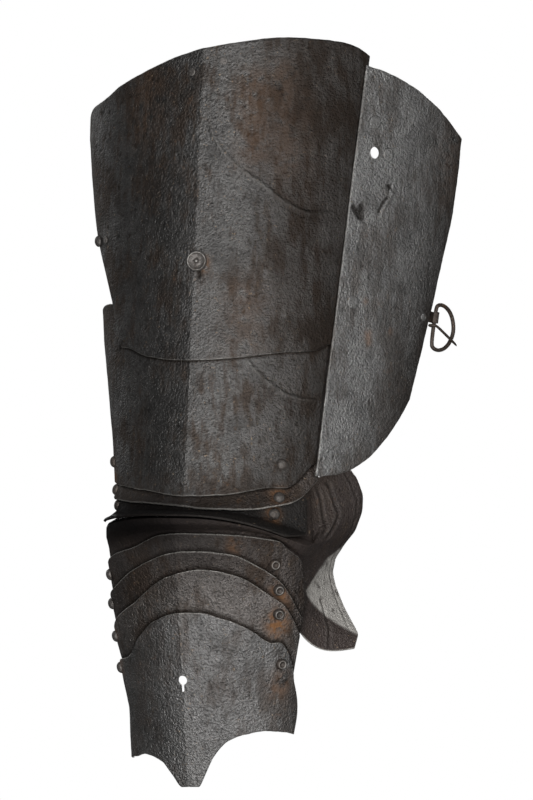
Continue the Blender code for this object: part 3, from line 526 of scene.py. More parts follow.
def rim_distance(grid: np.ndarray) -> np.ndarray:
    """Distance of each point of a grid from the nearest edge, along the grid.

    Args:
        grid: Points of the outer face, its rows going up.

    Returns:
        One distance for each point.
    """
    def along(axis: int) -> np.ndarray:
        """Lesser of the lengths to both ends along one axis.

        Args:
            axis: The grid's axis.

        Returns:
            The lengths.
        """
        steps = np.linalg.norm(np.diff(grid, axis=axis), axis=-1)
        start = np.zeros_like(np.take(steps, [0], axis))
        run = np.concatenate((start, np.cumsum(steps, axis)), axis)
        return np.minimum(run, np.take(run, [-1], axis) - run)
    return np.minimum(along(0), along(1))


class Graph:
    """Shorthand for building a shader or geometry tree."""

    def __init__(self, tree: bpy.types.NodeTree) -> None:
        """Work on a tree."""
        self.tree = tree

    def add(self, kind: str, inputs: dict, **settings: object) -> bpy.types.Node:
        """Add a node.

        Args:
            kind: The node's type.
            inputs: Values or sockets for its inputs, by name or place.
            settings: The node's own settings.

        Returns:
            The node.
        """
        node = self.tree.nodes.new(kind)
        for key, value in settings.items():
            setattr(node, key, value)
        for key, value in inputs.items():
            if isinstance(value, Socket):
                self.tree.links.new(value, node.inputs[key])
            else:
                node.inputs[key].default_value = value
        return node

    def math(self, operation: str, *values: Value) -> Socket:
        """Result of a Math node."""
        return self.add("ShaderNodeMath", dict(enumerate(values)), operation=operation).outputs[0]

    def times(self, first: Value, second: Value) -> Socket:
        """Product of two values."""
        return self.math("MULTIPLY", first, second)

    def plus(self, first: Value, second: Value) -> Socket:
        """Sum of two values."""
        return self.math("ADD", first, second)

    def less(self, first: Value, second: Value) -> Socket:
        """The first value less the second."""
        return self.math("SUBTRACT", first, second)

    def larger(self, first: Value, second: Value) -> Socket:
        """The larger of two values."""
        return self.math("MAXIMUM", first, second)

    def vector(self, operation: str, *values: object) -> Socket:
        """Result of a Vector Math node."""
        return self.add("ShaderNodeVectorMath", dict(enumerate(values)), operation=operation).outputs[0]

    def scale(self, vector: Socket, factor: Value) -> Socket:
        """A vector times a factor."""
        return self.add("ShaderNodeVectorMath", {0: vector, "Scale": factor}, operation="SCALE").outputs[0]

    def fit(self, value: Value, low: Value, high: Value, to_low: Value = 0.0,
            to_high: Value = 1.0) -> Socket:
        """A value brought smoothly from one range to another and kept in it.

        Args:
            value: The value to bring over.
            low: Start of its range.
            high: End of its range.
            to_low: Start of the new range.
            to_high: End of the new range.

        Returns:
            The new value.
        """
        node = self.add("ShaderNodeMapRange", {
            "Value": value, "From Min": low, "From Max": high, "To Min": to_low, "To Max": to_high,
        }, interpolation_type="SMOOTHSTEP")
        return node.outputs["Result"]

    def noise(self, place: Socket, size: Value, detail: float = 4.0,
              roughness: float = 0.55) -> Socket:
        """Fractal noise with patches of a size.

        Args:
            place: Place of each point.
            size: Size of the patches.
            detail: How many finer waves it has.
            roughness: How strong the finer waves are.

        Returns:
            The noise, from 0 to 1.
        """
        scale = 1 / size if isinstance(size, float) else self.math("DIVIDE", 1.0, size)
        return self.add("ShaderNodeTexNoise", {
            "Vector": place, "Scale": scale, "Detail": detail, "Roughness": roughness,
        }).outputs[0]

    def cells(self, place: Socket, size: float) -> Socket:
        """Distance from the middles of scattered cells of a size, in cells."""
        return self.add("ShaderNodeTexVoronoi", {"Vector": place, "Scale": 1 / size}).outputs["Distance"]

    def mix(self, factor: Value, first: object, second: object) -> Socket:
        """A colour part of the way from one to another.

        Args:
            factor: How far to go.
            first: The colour at 0.
            second: The colour at 1.

        Returns:
            The mixed colour.
        """
        def full(colour: object) -> object:
            """A colour with its alpha, or a socket as it is."""
            return colour if isinstance(colour, Socket) else (*colour, 1.0)
        node = self.add("ShaderNodeMix", {0: factor, 6: full(first), 7: full(second)}, data_type="RGBA")
        return node.outputs[2]

    def attribute(self, name: str) -> Socket:
        """A number painted on the mesh."""
        return self.add("ShaderNodeAttribute", {}, attribute_name=name).outputs["Fac"]


def dimmed(colour: Colour, share: float) -> Colour:
    """A share of a colour's brightness."""
    return tuple(share * part for part in colour)


@dataclass(frozen=True)
class IronFinish:
    """Old blackened iron: a smooth dark skin, brown patina, rust, fine pits and worn bright edges, with
    painted shade and a painted highlight where the mesh marks them.
    """

    name: str
    skin: Colour = (0.110, 0.108, 0.106)
    earth: Colour = (0.085, 0.062, 0.048)
    rust: Colour = (0.230, 0.110, 0.045)
    fleck: Colour = (0.420, 0.310, 0.210)
    bare: Colour = (0.620, 0.595, 0.555)
    inside: Colour = (0.070, 0.050, 0.038)
    brown: float = 0.50
    speckle: float = 0.35
    wear: float = 0.70
    grain: float = 0.80
    smooth: float = 0.36
    rough: float = 0.55
    metallic: float = 0.92

    def build(self) -> bpy.types.Material:
        """Make the material.

        Returns:
            The material.
        """
        material = bpy.data.materials.get(self.name)
        if material:
            return material
        material = bpy.data.materials.new(self.name)
        material.use_nodes = True
        graph = Graph(material.node_tree)
        place = graph.add("ShaderNodeTexCoord", {}).outputs["Object"]
        shader = material.node_tree.nodes["Principled BSDF"]
        cloud = graph.noise(place, CLOUD_SIZE, 7.0, 0.60)
        mottle = graph.noise(place, MOTTLE_SIZE, 5.0, 0.62)
        grain = graph.noise(place, GRAIN_SIZE, 3.0, 0.60)
        drips = graph.noise(graph.vector("MULTIPLY", place, DRIP_STRETCH), DRIP_SIZE, 4.0, 0.6)
        edge, pit, worked = (graph.attribute(name) for name in ("edge", "pit", "worked"))
        patch = graph.plus(cloud, graph.times(graph.less(drips, 0.5), 0.75))
        brown = graph.times(graph.fit(patch, 0.44, 0.66), self.brown)
        colour = graph.mix(brown, self.skin, self.earth)
        dark = graph.times(graph.fit(grain, 0.52, 0.34), self.speckle)
        colour = graph.mix(dark, colour, dimmed(self.earth, 0.35))
        fleck = graph.noise(graph.vector("ADD", place, FLECK_SHIFT), FLECK_SIZE, 3.0, 0.7)
        colour = graph.mix(graph.times(graph.fit(fleck, 0.63, 0.71), 0.6), colour, self.fleck)
        colour = graph.mix(graph.times(pit, 0.55), colour, dimmed(self.earth, 0.35))
        blotch = graph.noise(graph.vector("ADD", place, BLOTCH_SHIFT), BLOTCH_SIZE, 6.0, 0.65)
        blotch = graph.fit(blotch, 0.46, 0.62)
        colour = graph.mix(graph.times(blotch, 0.45), colour, dimmed(self.skin, 0.45))
        spots = graph.plus(graph.times(mottle, 0.62), graph.times(cloud, 0.38))
        spots = graph.fit(spots, 0.60, 0.68)
        spots = graph.times(spots, 0.40 * self.brown)
        stain = graph.times(graph.attribute("rust"), graph.fit(mottle, 0.30, 0.58))
        rusty = graph.larger(spots, stain)
        colour = graph.mix(rusty, colour, self.rust)
        inner = graph.attribute("inside")
        inner_colour = graph.mix(graph.fit(mottle, 0.40, 0.65), self.inside, self.earth)
        colour = graph.mix(inner, colour, inner_colour)
        rubbed_and_highlight = graph.fit(graph.plus(edge, graph.times(mottle, 0.5)), 0.78, 1.18)
        rubbed_and_highlight = graph.times(rubbed_and_highlight, self.wear)
        rubbed_and_highlight = graph.larger(rubbed_and_highlight, graph.times(graph.larger(worked, 0.0), 0.10))
        # Painted highlight: the wing's wedge gets the bright bare colour where it faces the side light
        bare_highlight = graph.times(graph.attribute("bare"), graph.fit(mottle, 0.25, 0.50))
        rubbed_and_highlight = graph.larger(rubbed_and_highlight, bare_highlight)
        colour = graph.mix(rubbed_and_highlight, colour, self.bare)
        # Darker in grooves and gouges, and painted shadow along the edges of overlapping plates
        grooves_and_painted_shadow = graph.fit(graph.times(worked, -1.0), 0.0, 1.2, 0.0, 0.85)
        colour = graph.mix(grooves_and_painted_shadow, colour, dimmed(self.earth, 0.25))
        # Painted shade: darker where the mesh's painted falloff shade is strong
        shade = graph.times(graph.attribute("patina"), graph.fit(patch, 0.25, 0.60, 0.75, 1.0))
        colour = graph.mix(shade, colour, dimmed(self.earth, 0.30))
        # Painted shade: near-black colour where the mesh marks shade round and under the knee
        soot = graph.attribute("soot")
        colour = graph.mix(soot, colour, PAINTED_SHADE_BLACK)
        graph.tree.links.new(colour, shader.inputs["Base Color"])
        shine = graph.plus(mottle, graph.times(brown, 0.3))
        shine = graph.fit(shine, 0.30, 0.75, self.smooth, self.rough)
        # Painted shade also raises the roughness, dulls the reflections and takes away the metal
        shine = graph.plus(shine, graph.times(graph.larger(rusty, soot), 0.30))
        graph.tree.links.new(graph.fit(soot, 0.0, 1.0, 0.5, 0.08), shader.inputs["Specular IOR Level"])
        graph.tree.links.new(shine, shader.inputs["Roughness"])
        metal = graph.larger(graph.larger(rusty, inner), soot)
        metal = graph.fit(metal, 0.0, 1.0, self.metallic, 0.05)
        graph.tree.links.new(metal, shader.inputs["Metallic"])
        wander = graph.add("ShaderNodeTexNoise", {"Vector": place, "Scale": WANDER_SCALE}).outputs[1]
        wandered = graph.vector("ADD", place, graph.scale(wander, POCK_WANDER))
        pocks = graph.fit(graph.cells(wandered, POCK_SIZE), 0.0, 0.42)
        height = graph.plus(graph.times(grain, 1.7), graph.times(pocks, 0.40))
        height = graph.plus(height, graph.times(mottle, 0.8))
        bump = graph.add("ShaderNodeBump", {
            "Strength": self.grain, "Distance": GRAIN_HEIGHT, "Height": height})
        graph.tree.links.new(bump.outputs["Normal"], shader.inputs["Normal"])
        return material


THIGH_IRON = IronFinish("thigh_iron", skin=(0.155, 0.151, 0.147), grain=0.62, brown=0.80)
# Painted light: the side plate's skin is far lighter than the thigh plates' so that it looks lit from the
# outer side
PAINTED_LIT_SIDE_IRON = IronFinish("side_iron", skin=(0.400, 0.396, 0.390), earth=(0.120, 0.098, 0.083),
                       brown=0.60, grain=0.90, wear=0.35)
KNEE_IRON = IronFinish("knee_iron", skin=(0.082, 0.064, 0.058), brown=0.60, speckle=0.30,
                       wear=0.95, metallic=0.4)
# Painted shade: a near-black copy of the iron for the knee lame, where the knee lies in shade
PAINTED_SHADE_IRON = IronFinish("soot_iron", skin=(0.020, 0.017, 0.015), earth=(0.018, 0.013, 0.010),
                       bare=(0.060, 0.050, 0.044), inside=(0.014, 0.012, 0.010), wear=0.5, metallic=0.1)
DARK_LAME_IRON = IronFinish("dark_lame_iron", skin=(0.130, 0.114, 0.106), brown=0.80, wear=0.90, grain=0.90)
LAME_IRON = IronFinish("lame_iron", skin=(0.225, 0.207, 0.195), brown=0.75, wear=0.90, grain=0.90)
SHIN_IRON = IronFinish("shin_iron", skin=(0.250, 0.245, 0.240), earth=(0.120, 0.098, 0.085),
                       brown=0.60, wear=0.80, grain=0.80)
RIVET_IRON = IronFinish("rivet_iron", skin=(0.190, 0.176, 0.165), wear=0.75, brown=0.60,
                        grain=0.50, metallic=0.6)
DARK_RIVET_IRON = IronFinish("dark_rivet_iron", skin=(0.110, 0.095, 0.086), wear=0.55,
                             brown=0.70, grain=0.50, metallic=0.6)
FLUSH_IRON = IronFinish("flush_iron", skin=(0.330, 0.328, 0.322), wear=0.20, brown=0.20, grain=0.50)
BUCKLE_IRON = IronFinish("buckle_iron", skin=(0.130, 0.110, 0.097), brown=0.70, wear=0.60,
                         grain=0.50, metallic=0.6)


def set_input(modifier: bpy.types.Modifier, name: str, value: object) -> None:
    """Set a named input of a geometry tree on a modifier.

    Args:
        modifier: The modifier that holds the tree.
        name: Name of the input.
        value: Its value.
    """
    for item in modifier.node_group.interface.items_tree:
        if item.item_type == "SOCKET" and item.in_out == "INPUT" and item.name == name:
            modifier[item.identifier] = value


def new_tree(name: str, sockets: Sequence[tuple[str, str]]) -> tuple[Graph, bpy.types.Node, bpy.types.Node]:
    """Start a geometry tree.

    Args:
        name: The tree's name.
        sockets: Names and socket types of its inputs.

    Returns:
        The tree's graph, its input node and its output node.
    """
    tree = bpy.data.node_groups.new(name, "GeometryNodeTree")
    for socket, kind in sockets:
        tree.interface.new_socket(socket, in_out="INPUT", socket_type=kind)
    tree.interface.new_socket("Geometry", in_out="OUTPUT", socket_type="NodeSocketGeometry")
    graph = Graph(tree)
    return graph, graph.add("NodeGroupInput", {}), graph.add("NodeGroupOutput", {})


def forging_tree() -> bpy.types.NodeTree:
    """Tree that gives a plate its dents, hammer marks and rust pits.

    Returns:
        The tree.
    """
    graph, given, result = new_tree("forging", (
        ("Geometry", "NodeSocketGeometry"), ("Dent Depth", "NodeSocketFloat"),
        ("Dent Size", "NodeSocketFloat"), ("Hammer Depth", "NodeSocketFloat"),
        ("Hammer Size", "NodeSocketFloat"), ("Pit Depth", "NodeSocketFloat"),
        ("Pit Size", "NodeSocketFloat"), ("Seed", "NodeSocketVector"), ("Material", "NodeSocketMaterial")))
    socket = given.outputs
    place = graph.add("GeometryNodeInputPosition", {}).outputs[0]
    moved = graph.vector("ADD", place, socket["Seed"])

    def painted(name: str, kind: str) -> Socket:
        """A value painted on the plate."""
        return graph.add("GeometryNodeInputNamedAttribute", {"Name": name}, data_type=kind).outputs[0]

    def wave(size: Socket, depth: Socket, detail: float, where: Socket) -> Socket:
        """A swell of plus or minus a depth."""
        swell = graph.less(graph.noise(where, size, detail, 0.5), 0.5)
        return graph.times(graph.times(swell, 3.0), depth)

    face = graph.less(1.0, painted("inside", "FLOAT"))
    whole = graph.less(1.0, painted("edge", "FLOAT"))
    dents = wave(socket["Dent Size"], socket["Dent Depth"], 1.0, place)
    hammer = graph.times(wave(socket["Hammer Size"], socket["Hammer Depth"], 2.0, moved), whole)
    pits = graph.fit(graph.noise(moved, socket["Pit Size"], 4.0, 0.62), 0.56, 0.70)
    pits = graph.times(graph.times(pits, face), whole)
    pits = graph.times(pits, graph.math("MULTIPLY_ADD", painted("rust", "FLOAT"), 2.5, 1.0))
    lift = graph.less(graph.plus(dents, hammer), graph.times(pits, socket["Pit Depth"]))
    offset = graph.scale(painted("outward", "FLOAT_VECTOR"), lift)
    shaped = graph.add("GeometryNodeSetPosition", {"Geometry": socket["Geometry"], "Offset": offset})
    marked = graph.add("GeometryNodeStoreNamedAttribute", {
        "Geometry": shaped.outputs[0], "Name": "pit", "Value": pits}, data_type="FLOAT", domain="POINT")
    whole_mesh = graph.add("GeometryNodeRealizeInstances", {"Geometry": marked.outputs[0]})
    dressed = graph.add("GeometryNodeSetMaterial", {
        "Geometry": whole_mesh.outputs[0], "Material": socket["Material"]})
    graph.tree.links.new(dressed.outputs[0], result.inputs[0])
    return graph.tree


def rivet_tree() -> bpy.types.NodeTree:
    """Tree that sets a turned head on every point, turned at random, and hammers it a little.

    Returns:
        The tree.
    """
    graph, given, result = new_tree("riveting", (
        ("Geometry", "NodeSocketGeometry"), ("Head", "NodeSocketObject"), ("Seed", "NodeSocketInt"),
        ("Hammer Depth", "NodeSocketFloat"), ("Hammer Size", "NodeSocketFloat"),
        ("Material", "NodeSocketMaterial")))
    socket = given.outputs
    points = graph.add("GeometryNodeMeshToPoints", {"Mesh": socket["Geometry"]})
    head = graph.add("GeometryNodeObjectInfo", {"Object": socket["Head"]})
    out = graph.add("GeometryNodeInputNamedAttribute", {"Name": "outward"}, data_type="FLOAT_VECTOR")
    size = graph.add("GeometryNodeInputNamedAttribute", {"Name": "size"}, data_type="FLOAT_VECTOR")
    aimed = graph.add("FunctionNodeAlignRotationToVector", {"Vector": out.outputs[0]}, axis="Z")
    turn = graph.add("FunctionNodeRandomValue", {3: math.tau, "Seed": socket["Seed"]}, data_type="FLOAT")
    spin = graph.add("ShaderNodeCombineXYZ", {"Z": turn.outputs[1]})
    spun = graph.add("FunctionNodeEulerToRotation", {0: spin.outputs[0]})
    turned = graph.add("FunctionNodeRotateRotation", {0: aimed.outputs[0], 1: spun.outputs[0]},
                       rotation_space="LOCAL")
    heads = graph.add("GeometryNodeInstanceOnPoints", {
        "Points": points.outputs[0], "Instance": head.outputs["Geometry"],
        "Rotation": turned.outputs[0], "Scale": size.outputs[0]})
    real = graph.add("GeometryNodeRealizeInstances", {"Geometry": heads.outputs[0]})
    place = graph.add("GeometryNodeInputPosition", {}).outputs[0]
    swell = graph.less(graph.noise(place, socket["Hammer Size"], 2.0, 0.5), 0.5)
    offset = graph.scale(graph.add("GeometryNodeInputNormal", {}).outputs[0],
                         graph.times(swell, socket["Hammer Depth"]))
    shaped = graph.add("GeometryNodeSetPosition", {"Geometry": real.outputs[0], "Offset": offset})
    dressed = graph.add("GeometryNodeSetMaterial", {
        "Geometry": shaped.outputs[0], "Material": socket["Material"]})
    graph.tree.links.new(dressed.outputs[0], result.inputs[0])
    return graph.tree


def harden(source: bpy.types.Object, name: str) -> bpy.types.Object:
    """Turn an object with its modifiers into a plain mesh object at the origin, and remove the first.

    Args:
        source: The object, which is removed.
        name: Name of the object.

    Returns:
        The plain object.
    """
    graph = bpy.context.evaluated_depsgraph_get()
    mesh = bpy.data.meshes.new_from_object(source.evaluated_get(graph))
    bpy.data.objects.remove(source)
    mesh.name = name
    for polygon in mesh.polygons:
        polygon.use_smooth = True
    mesh.set_sharp_from_angle(angle=SHARP_ANGLE)
    return linked(name, mesh)


def linked(name: str, data: bpy.types.ID) -> bpy.types.Object:
    """An object of a mesh, a camera or a light, in the scene.

    Args:
        name: Name of the object.
        data: The mesh, camera or light.

    Returns:
        The object.
    """
    item = bpy.data.objects.new(name, data)
    bpy.context.scene.collection.objects.link(item)
    return item


def new_object(name: str, points: np.ndarray, faces: list) -> bpy.types.Object:
    """An object from points and faces.

    Args:
        name: Name of the object.
        points: The points.
        faces: The faces, by their points.

    Returns:
        The object.
    """
    mesh = bpy.data.meshes.new(name)
    mesh.from_pydata(points.tolist(), [], faces)
    return linked(name, mesh)


def from_bmesh(name: str, mesh: bmesh.types.BMesh) -> bpy.types.Object:
    """An object from a mesh being edited, which is freed.

    Args:
        name: Name of the object.
        mesh: The mesh that is being edited.

    Returns:
        The object.
    """
    data = bpy.data.meshes.new(name)
    mesh.to_mesh(data)
    mesh.free()
    return linked(name, data)


def paint(item: bpy.types.Object, name: str, values: np.ndarray) -> None:
    """Paint one number or one vector on each point of a mesh.

    Args:
        item: The object.
        name: Name of the layer.
        values: One number or one vector for each point.
    """
    vector = values.ndim == 2
    layer = item.data.attributes.new(name, "FLOAT_VECTOR" if vector else "FLOAT", "POINT")
    layer.data.foreach_set("vector" if vector else "value", values.astype(np.float32).ravel())


def strides(count: int) -> list[int]:
    """Rows of the outer face that the inner face keeps too."""
    return sorted({0, *range(0, count - 1, INNER_STRIDE), count - 1} - {count - 2})


@dataclass(frozen=True)
class Plate:
    """One forged plate, made from a fine grid of its outer face."""

    name: str
    node: str
    body: str
    finish: IronFinish
    marks: tuple[Mark, ...] = ()
    stains: tuple[Stain, ...] = ()
    pit_depth: float = 0.00028
    pit_size: float = 0.0060
    hammer: float = 0.00016
    # dark: how strong the painted falloff shade is
    dark: float = 0.0
    seed: int = 1

    def outer(self) -> np.ndarray:
        """Grid of the outer face, its rows going up and its columns to the outer side."""
        raise NotImplementedError

    def at(self, across: float, up: float) -> np.ndarray:
        """Point of the outer face at the plate's own two measures."""
        raise NotImplementedError

    def cutters(self) -> list[bpy.types.Object]:
        """Solids to cut out of the plate."""
        return []

    def hole_edge(self, points: np.ndarray) -> np.ndarray:
        """How near each point is to the edge of a hole, from 0 to 1."""
        return np.zeros(len(points))

    def bare(self, grid: np.ndarray) -> np.ndarray:
        """Where the metal is worn bare and a highlight is painted, from 0 to 1."""
        return np.zeros(grid.shape[:2])

    def patina(self, grid: np.ndarray) -> np.ndarray:
        """Where painted shade darkens the plate, from 0 to 1: away from the middle of the plate."""
        outer = np.clip((grid[..., 0] + ORIGIN[0] - FALLOFF_SHADE_START) / FALLOFF_SHADE_REACH, 0.0, 1.0)
        return self.dark * outer * outer * (3 - 2 * outer)

    def soot(self, grid: np.ndarray) -> np.ndarray:
        """Where painted shade blackens the plate, from 0 to 1: round the knee's inner side, and under the
        knee.

        Args:
            grid: Points of the outer face, its rows going up.

        Returns:
            The painted shade of each point.
        """
        across = (grid[..., 0] + ORIGIN[0] - PAINTED_SHADE_PLACE[0]) / PAINTED_SHADE_REACH[0]
        up = (grid[..., 2] + ORIGIN[2] - PAINTED_SHADE_PLACE[1]) / PAINTED_SHADE_REACH[1]
        return np.exp(-np.maximum(across, 0.0) ** 2 - up ** 2)

    def line_effect(self, mark: Mark, points: np.ndarray) -> tuple[np.ndarray, np.ndarray]:
        """How a mark lifts the face and how it shows in the finish.

        Args:
            mark: The mark.
            points: Points of the outer face.

        Returns:
            The lift of each point, and its tone from -1, dark, to 1, rubbed bright.
        """
        keys = np.linspace(0, len(mark.line) - 1, LINE_SAMPLES * len(mark.line))
        rows = [(index, *place) for index, place in enumerate(mark.line)]
        places = zip(flow(rows, keys, 1), flow(rows, keys, 2))
        line = np.array([self.at(a, b) for a, b in places]) - ORIGIN
        nearest = np.full(len(points), np.inf)
        found = np.zeros(len(points), int)
        for index, place in enumerate(line):
            far = np.linalg.norm(points - place, axis=1)
            closer = far < nearest
            nearest[closer] = far[closer]
            found[closer] = index
        to_end = np.minimum(found, len(line) - 1 - found)
        taper = np.clip(to_end / (TAPER_SHARE * len(line)), TAPER_LEAST, 1.0)
        # A painted shadow: darkens the face along the edge of the plate lying over it, without lifting it
        if mark.kind is MarkKind.GRIME:
            return np.zeros(len(points)), -1.3 * np.exp(-(nearest / mark.width) ** 2)
        shape = np.exp(-(nearest / mark.width) ** 2) * taper
        if mark.kind is MarkKind.BEAD:
            beside = np.exp(-((nearest - 2.2 * mark.width) / mark.width) ** 2) * taper
            return mark.height * (shape - 0.35 * beside), shape
        if mark.kind is MarkKind.GROOVE:
            beside = np.exp(-((nearest - 2.0 * mark.width) / mark.width) ** 2) * taper
            return mark.height * (0.4 * beside - shape), 0.5 * beside - shape
        return -mark.height * shape, -1.5 * shape

    def build(self, forging: bpy.types.NodeTree) -> bpy.types.Object:
        """Forge the plate, dress it and join it to its body.

        Args:
            forging: The tree that gives the dents and pits.

        Returns:
            The finished piece.
        """
        grid = self.outer() - ORIGIN
        rows, columns = grid.shape[:2]
        out = facing(grid)
        rim = rim_distance(grid)
        flat = grid.reshape(-1, 3)
        lift = np.zeros(rows * columns)
        tone = np.zeros(rows * columns)
        for mark in self.marks:
            raised, shown = self.line_effect(mark, flat)
            lift += raised
            tone += shown
        drop = EDGE_DROP * (1 - np.clip(rim / EDGE_ROUND, 0, 1)) ** 2
        face = flat + out.reshape(-1, 3) * (lift - drop.ravel())[:, None]
        keep_rows, keep_columns = strides(rows), strides(columns)
        kept = np.ix_(keep_rows, keep_columns)
        back = (grid - out * PLATE)[kept]
        points = np.concatenate((face, back.reshape(-1, 3)))
        faces = self.faces(rows, columns, keep_rows, keep_columns)
        item = new_object(self.node + "_forging", points, faces)
        out_back = out[kept].reshape(-1, 3)
        rim_back = rim[kept].ravel()
        near = np.maximum(np.exp(-rim.ravel() / RIM_WEAR), self.hole_edge(flat))
        nothing = np.zeros(len(rim_back))
        # Painted shade round the knee's inner side and under the knee
        soot = self.soot(grid)
        for name, outside, within in (
                ("outward", out.reshape(-1, 3), out_back),
                ("edge", near, np.exp(-rim_back / INNER_RIM_WEAR)),
                ("inside", np.zeros(len(flat)), (rim_back > RIM_BRIGHT) * 1.0),
                ("worked", tone, nothing), ("bare", self.bare(grid).ravel(), nothing),
                ("patina", self.patina(grid).ravel(), nothing), ("soot", soot.ravel(), soot[kept].ravel())):
            paint(item, name, np.concatenate((outside, within)))
        paint(item, "rust", self.rusted(points))
        for tool in self.cutters():
            change = item.modifiers.new("cut", "BOOLEAN")
            change.operation = "DIFFERENCE"
            change.solver = "EXACT"
            change.object = tool
        self.forge(item, forging)
        tools = [change.object for change in item.modifiers if change.type == "BOOLEAN"]
        piece = harden(item, self.name)
        for tool in tools:
            bpy.data.objects.remove(tool)
        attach(piece, self.body)
        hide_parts(self.node)
        log.info("%s: %d triangles", self.name, sum(len(p.vertices) - 2 for p in piece.data.polygons))
        return piece

    def rusted(self, points: np.ndarray) -> np.ndarray:
        """How rusty each point is, from its nearness to the stains.

        Args:
            points: The points.

        Returns:
            The rust of each point.
        """
        total = np.zeros(len(points))
        for stain in self.stains:
            away = points - (self.at(*stain.place) - ORIGIN)
            below = np.clip(-away[:, 2], 0, stain.run) if stain.run else 0.0
            away[:, 2] += below
            far = np.linalg.norm(away, axis=1) / stain.reach
            total = np.maximum(total, stain.strength * np.exp(-far ** 2))
        return total

    def forge(self, item: bpy.types.Object, forging: bpy.types.NodeTree) -> None:
        """Put the forging on the plate and dress it.

        Args:
            item: The plate's object.
            forging: The tree that gives the dents and pits.
        """
        change = item.modifiers.new("forging", "NODES")
        change.node_group = forging
        for name, value in (
                ("Dent Depth", DENT_DEPTH), ("Dent Size", DENT_SIZE), ("Hammer Depth", self.hammer),
                ("Hammer Size", HAMMER_SIZE), ("Pit Depth", self.pit_depth), ("Pit Size", self.pit_size),
                ("Seed", (0.31 * self.seed, 0.17 * self.seed, 0.0)), ("Material", self.finish.build())):
            set_input(change, name, value)

    @staticmethod
    def faces(rows: int, columns: int, keep_rows: list[int], keep_columns: list[int]) -> list:
        """Faces of a closed plate with a fine outer face and a coarser inner one.

        Args:
            rows: How many rows the outer face has.
            columns: How many columns it has.
            keep_rows: Rows that the inner face keeps.
            keep_columns: Columns that it keeps.

        Returns:
            The faces, by their points.
        """
        index = np.arange(rows * columns).reshape(rows, columns)
        size = (len(keep_rows), len(keep_columns))
        inner = rows * columns + np.arange(size[0] * size[1]).reshape(size)
        outside = np.stack((index[:-1, :-1], index[:-1, 1:], index[1:, 1:], index[1:, :-1]), -1)
        within = np.stack((inner[:-1, :-1], inner[1:, :-1], inner[1:, 1:], inner[:-1, 1:]), -1)
        faces = outside.reshape(-1, 4).tolist() + within.reshape(-1, 4).tolist()
        for step, (low, high) in enumerate(zip(keep_columns, keep_columns[1:])):
            faces.append([inner[0, step], inner[0, step + 1], *index[0, low:high + 1][::-1]])
            faces.append([*index[-1, low:high + 1], inner[-1, step + 1], inner[-1, step]])
        for step, (low, high) in enumerate(zip(keep_rows, keep_rows[1:])):
            faces.append([*index[low:high + 1, 0], inner[step + 1, 0], inner[step, 0]])
            faces.append([inner[step, -1], inner[step + 1, -1], *index[low:high + 1, -1][::-1]])
        return faces


def edge(rows: Table, span: float) -> Callable[[np.ndarray], np.ndarray]:
    """Height of an edge table at angles, above the lowest tip."""
    return lambda angle: KNEE_LEVEL + span * flow(rows, angle)


def end(rows: Table, share: float) -> float:
    """Angle of an end table at a share of the way up."""
    return float(flow(rows, np.array(share)))


@dataclass(frozen=True)
class Trough(Plate):
    """A plate bent round the leg between edges that it crosses from its lowest to its highest.

    An edge is a table with its span and the plate's lift there. The counts say how the way between the
    edges is shared out where the ends of the plate are read, from the plate's first edge on.
    """

    section: Callable[[np.ndarray], Section] = thigh_section
    edges: tuple[tuple[Table, float, float], ...] = ()
    counts: tuple[int, ...] = (1,)
    ends: Ends = lambda share: (-80.0, 80.0)
    span: float = THIGH_RISE

    def lift_at(self, angle: float, height: float) -> float:
        """Lift of the plate at an angle and a height."""
        pairs = sorted((float(edge(rows, span)(np.array(angle))), lift) for rows, span, lift in self.edges)
        return float(np.interp(height, [pair[0] for pair in pairs], [pair[1] for pair in pairs]))

    def at(self, across: float, up: float) -> np.ndarray:
        """Point of the outer face at an angle and a share of the plate's span over the knee line.

        Args:
            across: The plate's first measure.
            up: The plate's second measure.

        Returns:
            The point.
        """
        height = KNEE_LEVEL + up * self.span
        lift = self.lift_at(across, height)
        return bend(self.section(np.array(height)), np.array(across, float), np.array(height), lift)

    def outer(self) -> np.ndarray:
        """Grid of the outer face.

        Returns:
            The grid.
        """
        total, done, grid = sum(self.counts), 0, []
        middle = self.section(np.array([KNEE_LEVEL + 0.5 * self.span * np.sign(self.edges[-1][0][0][1])]))
        inner_count = round(float(middle.medial[0]) * 1.45 / GRID)
        outer_count = round(float(middle.lateral[0]) * 1.35 / GRID)
        across = np.concatenate((-edge_shares(1.0, 1.0 / inner_count)[::-1][:-1],
                                 edge_shares(1.0, 1.0 / outer_count)))
        for index, count in enumerate(self.counts):
            (low_rows, low_span, low_lift), (high_rows, high_span, high_lift) = self.edges[index:index + 2]
            low, high = edge(low_rows, low_span), edge(high_rows, high_span)
            probe = np.linspace(*self.ends(done / total), 40)
            tall = float(np.abs(high(probe) - low(probe)).max())
            shares = edge_shares(1.0, GRID / tall / 1.1)
            for share in (shares if index == 0 else shares[1:]):
                whole = (done + share * count) / total
                first, last = self.ends(whole)
                angle = np.where(across < 0, -across * first, across * last)
                ragged = RAGGED * (waver(angle, self.seed, 1.6) * (1 - whole)
                                   + waver(angle, self.seed + 7, 1.6) * whole)
                height = low(angle) + (high(angle) - low(angle)) * share + ragged
                lift = low_lift + (high_lift - low_lift) * share
                grid.append(bend(self.section(height), angle, height, lift))
            done += count
        grid = np.array(grid)
        return grid if grid[0, columns_middle(grid), 2] < grid[-1, columns_middle(grid), 2] else grid[::-1]


def columns_middle(grid: np.ndarray) -> int:
    """The middle column of a grid."""
    return grid.shape[1] // 2


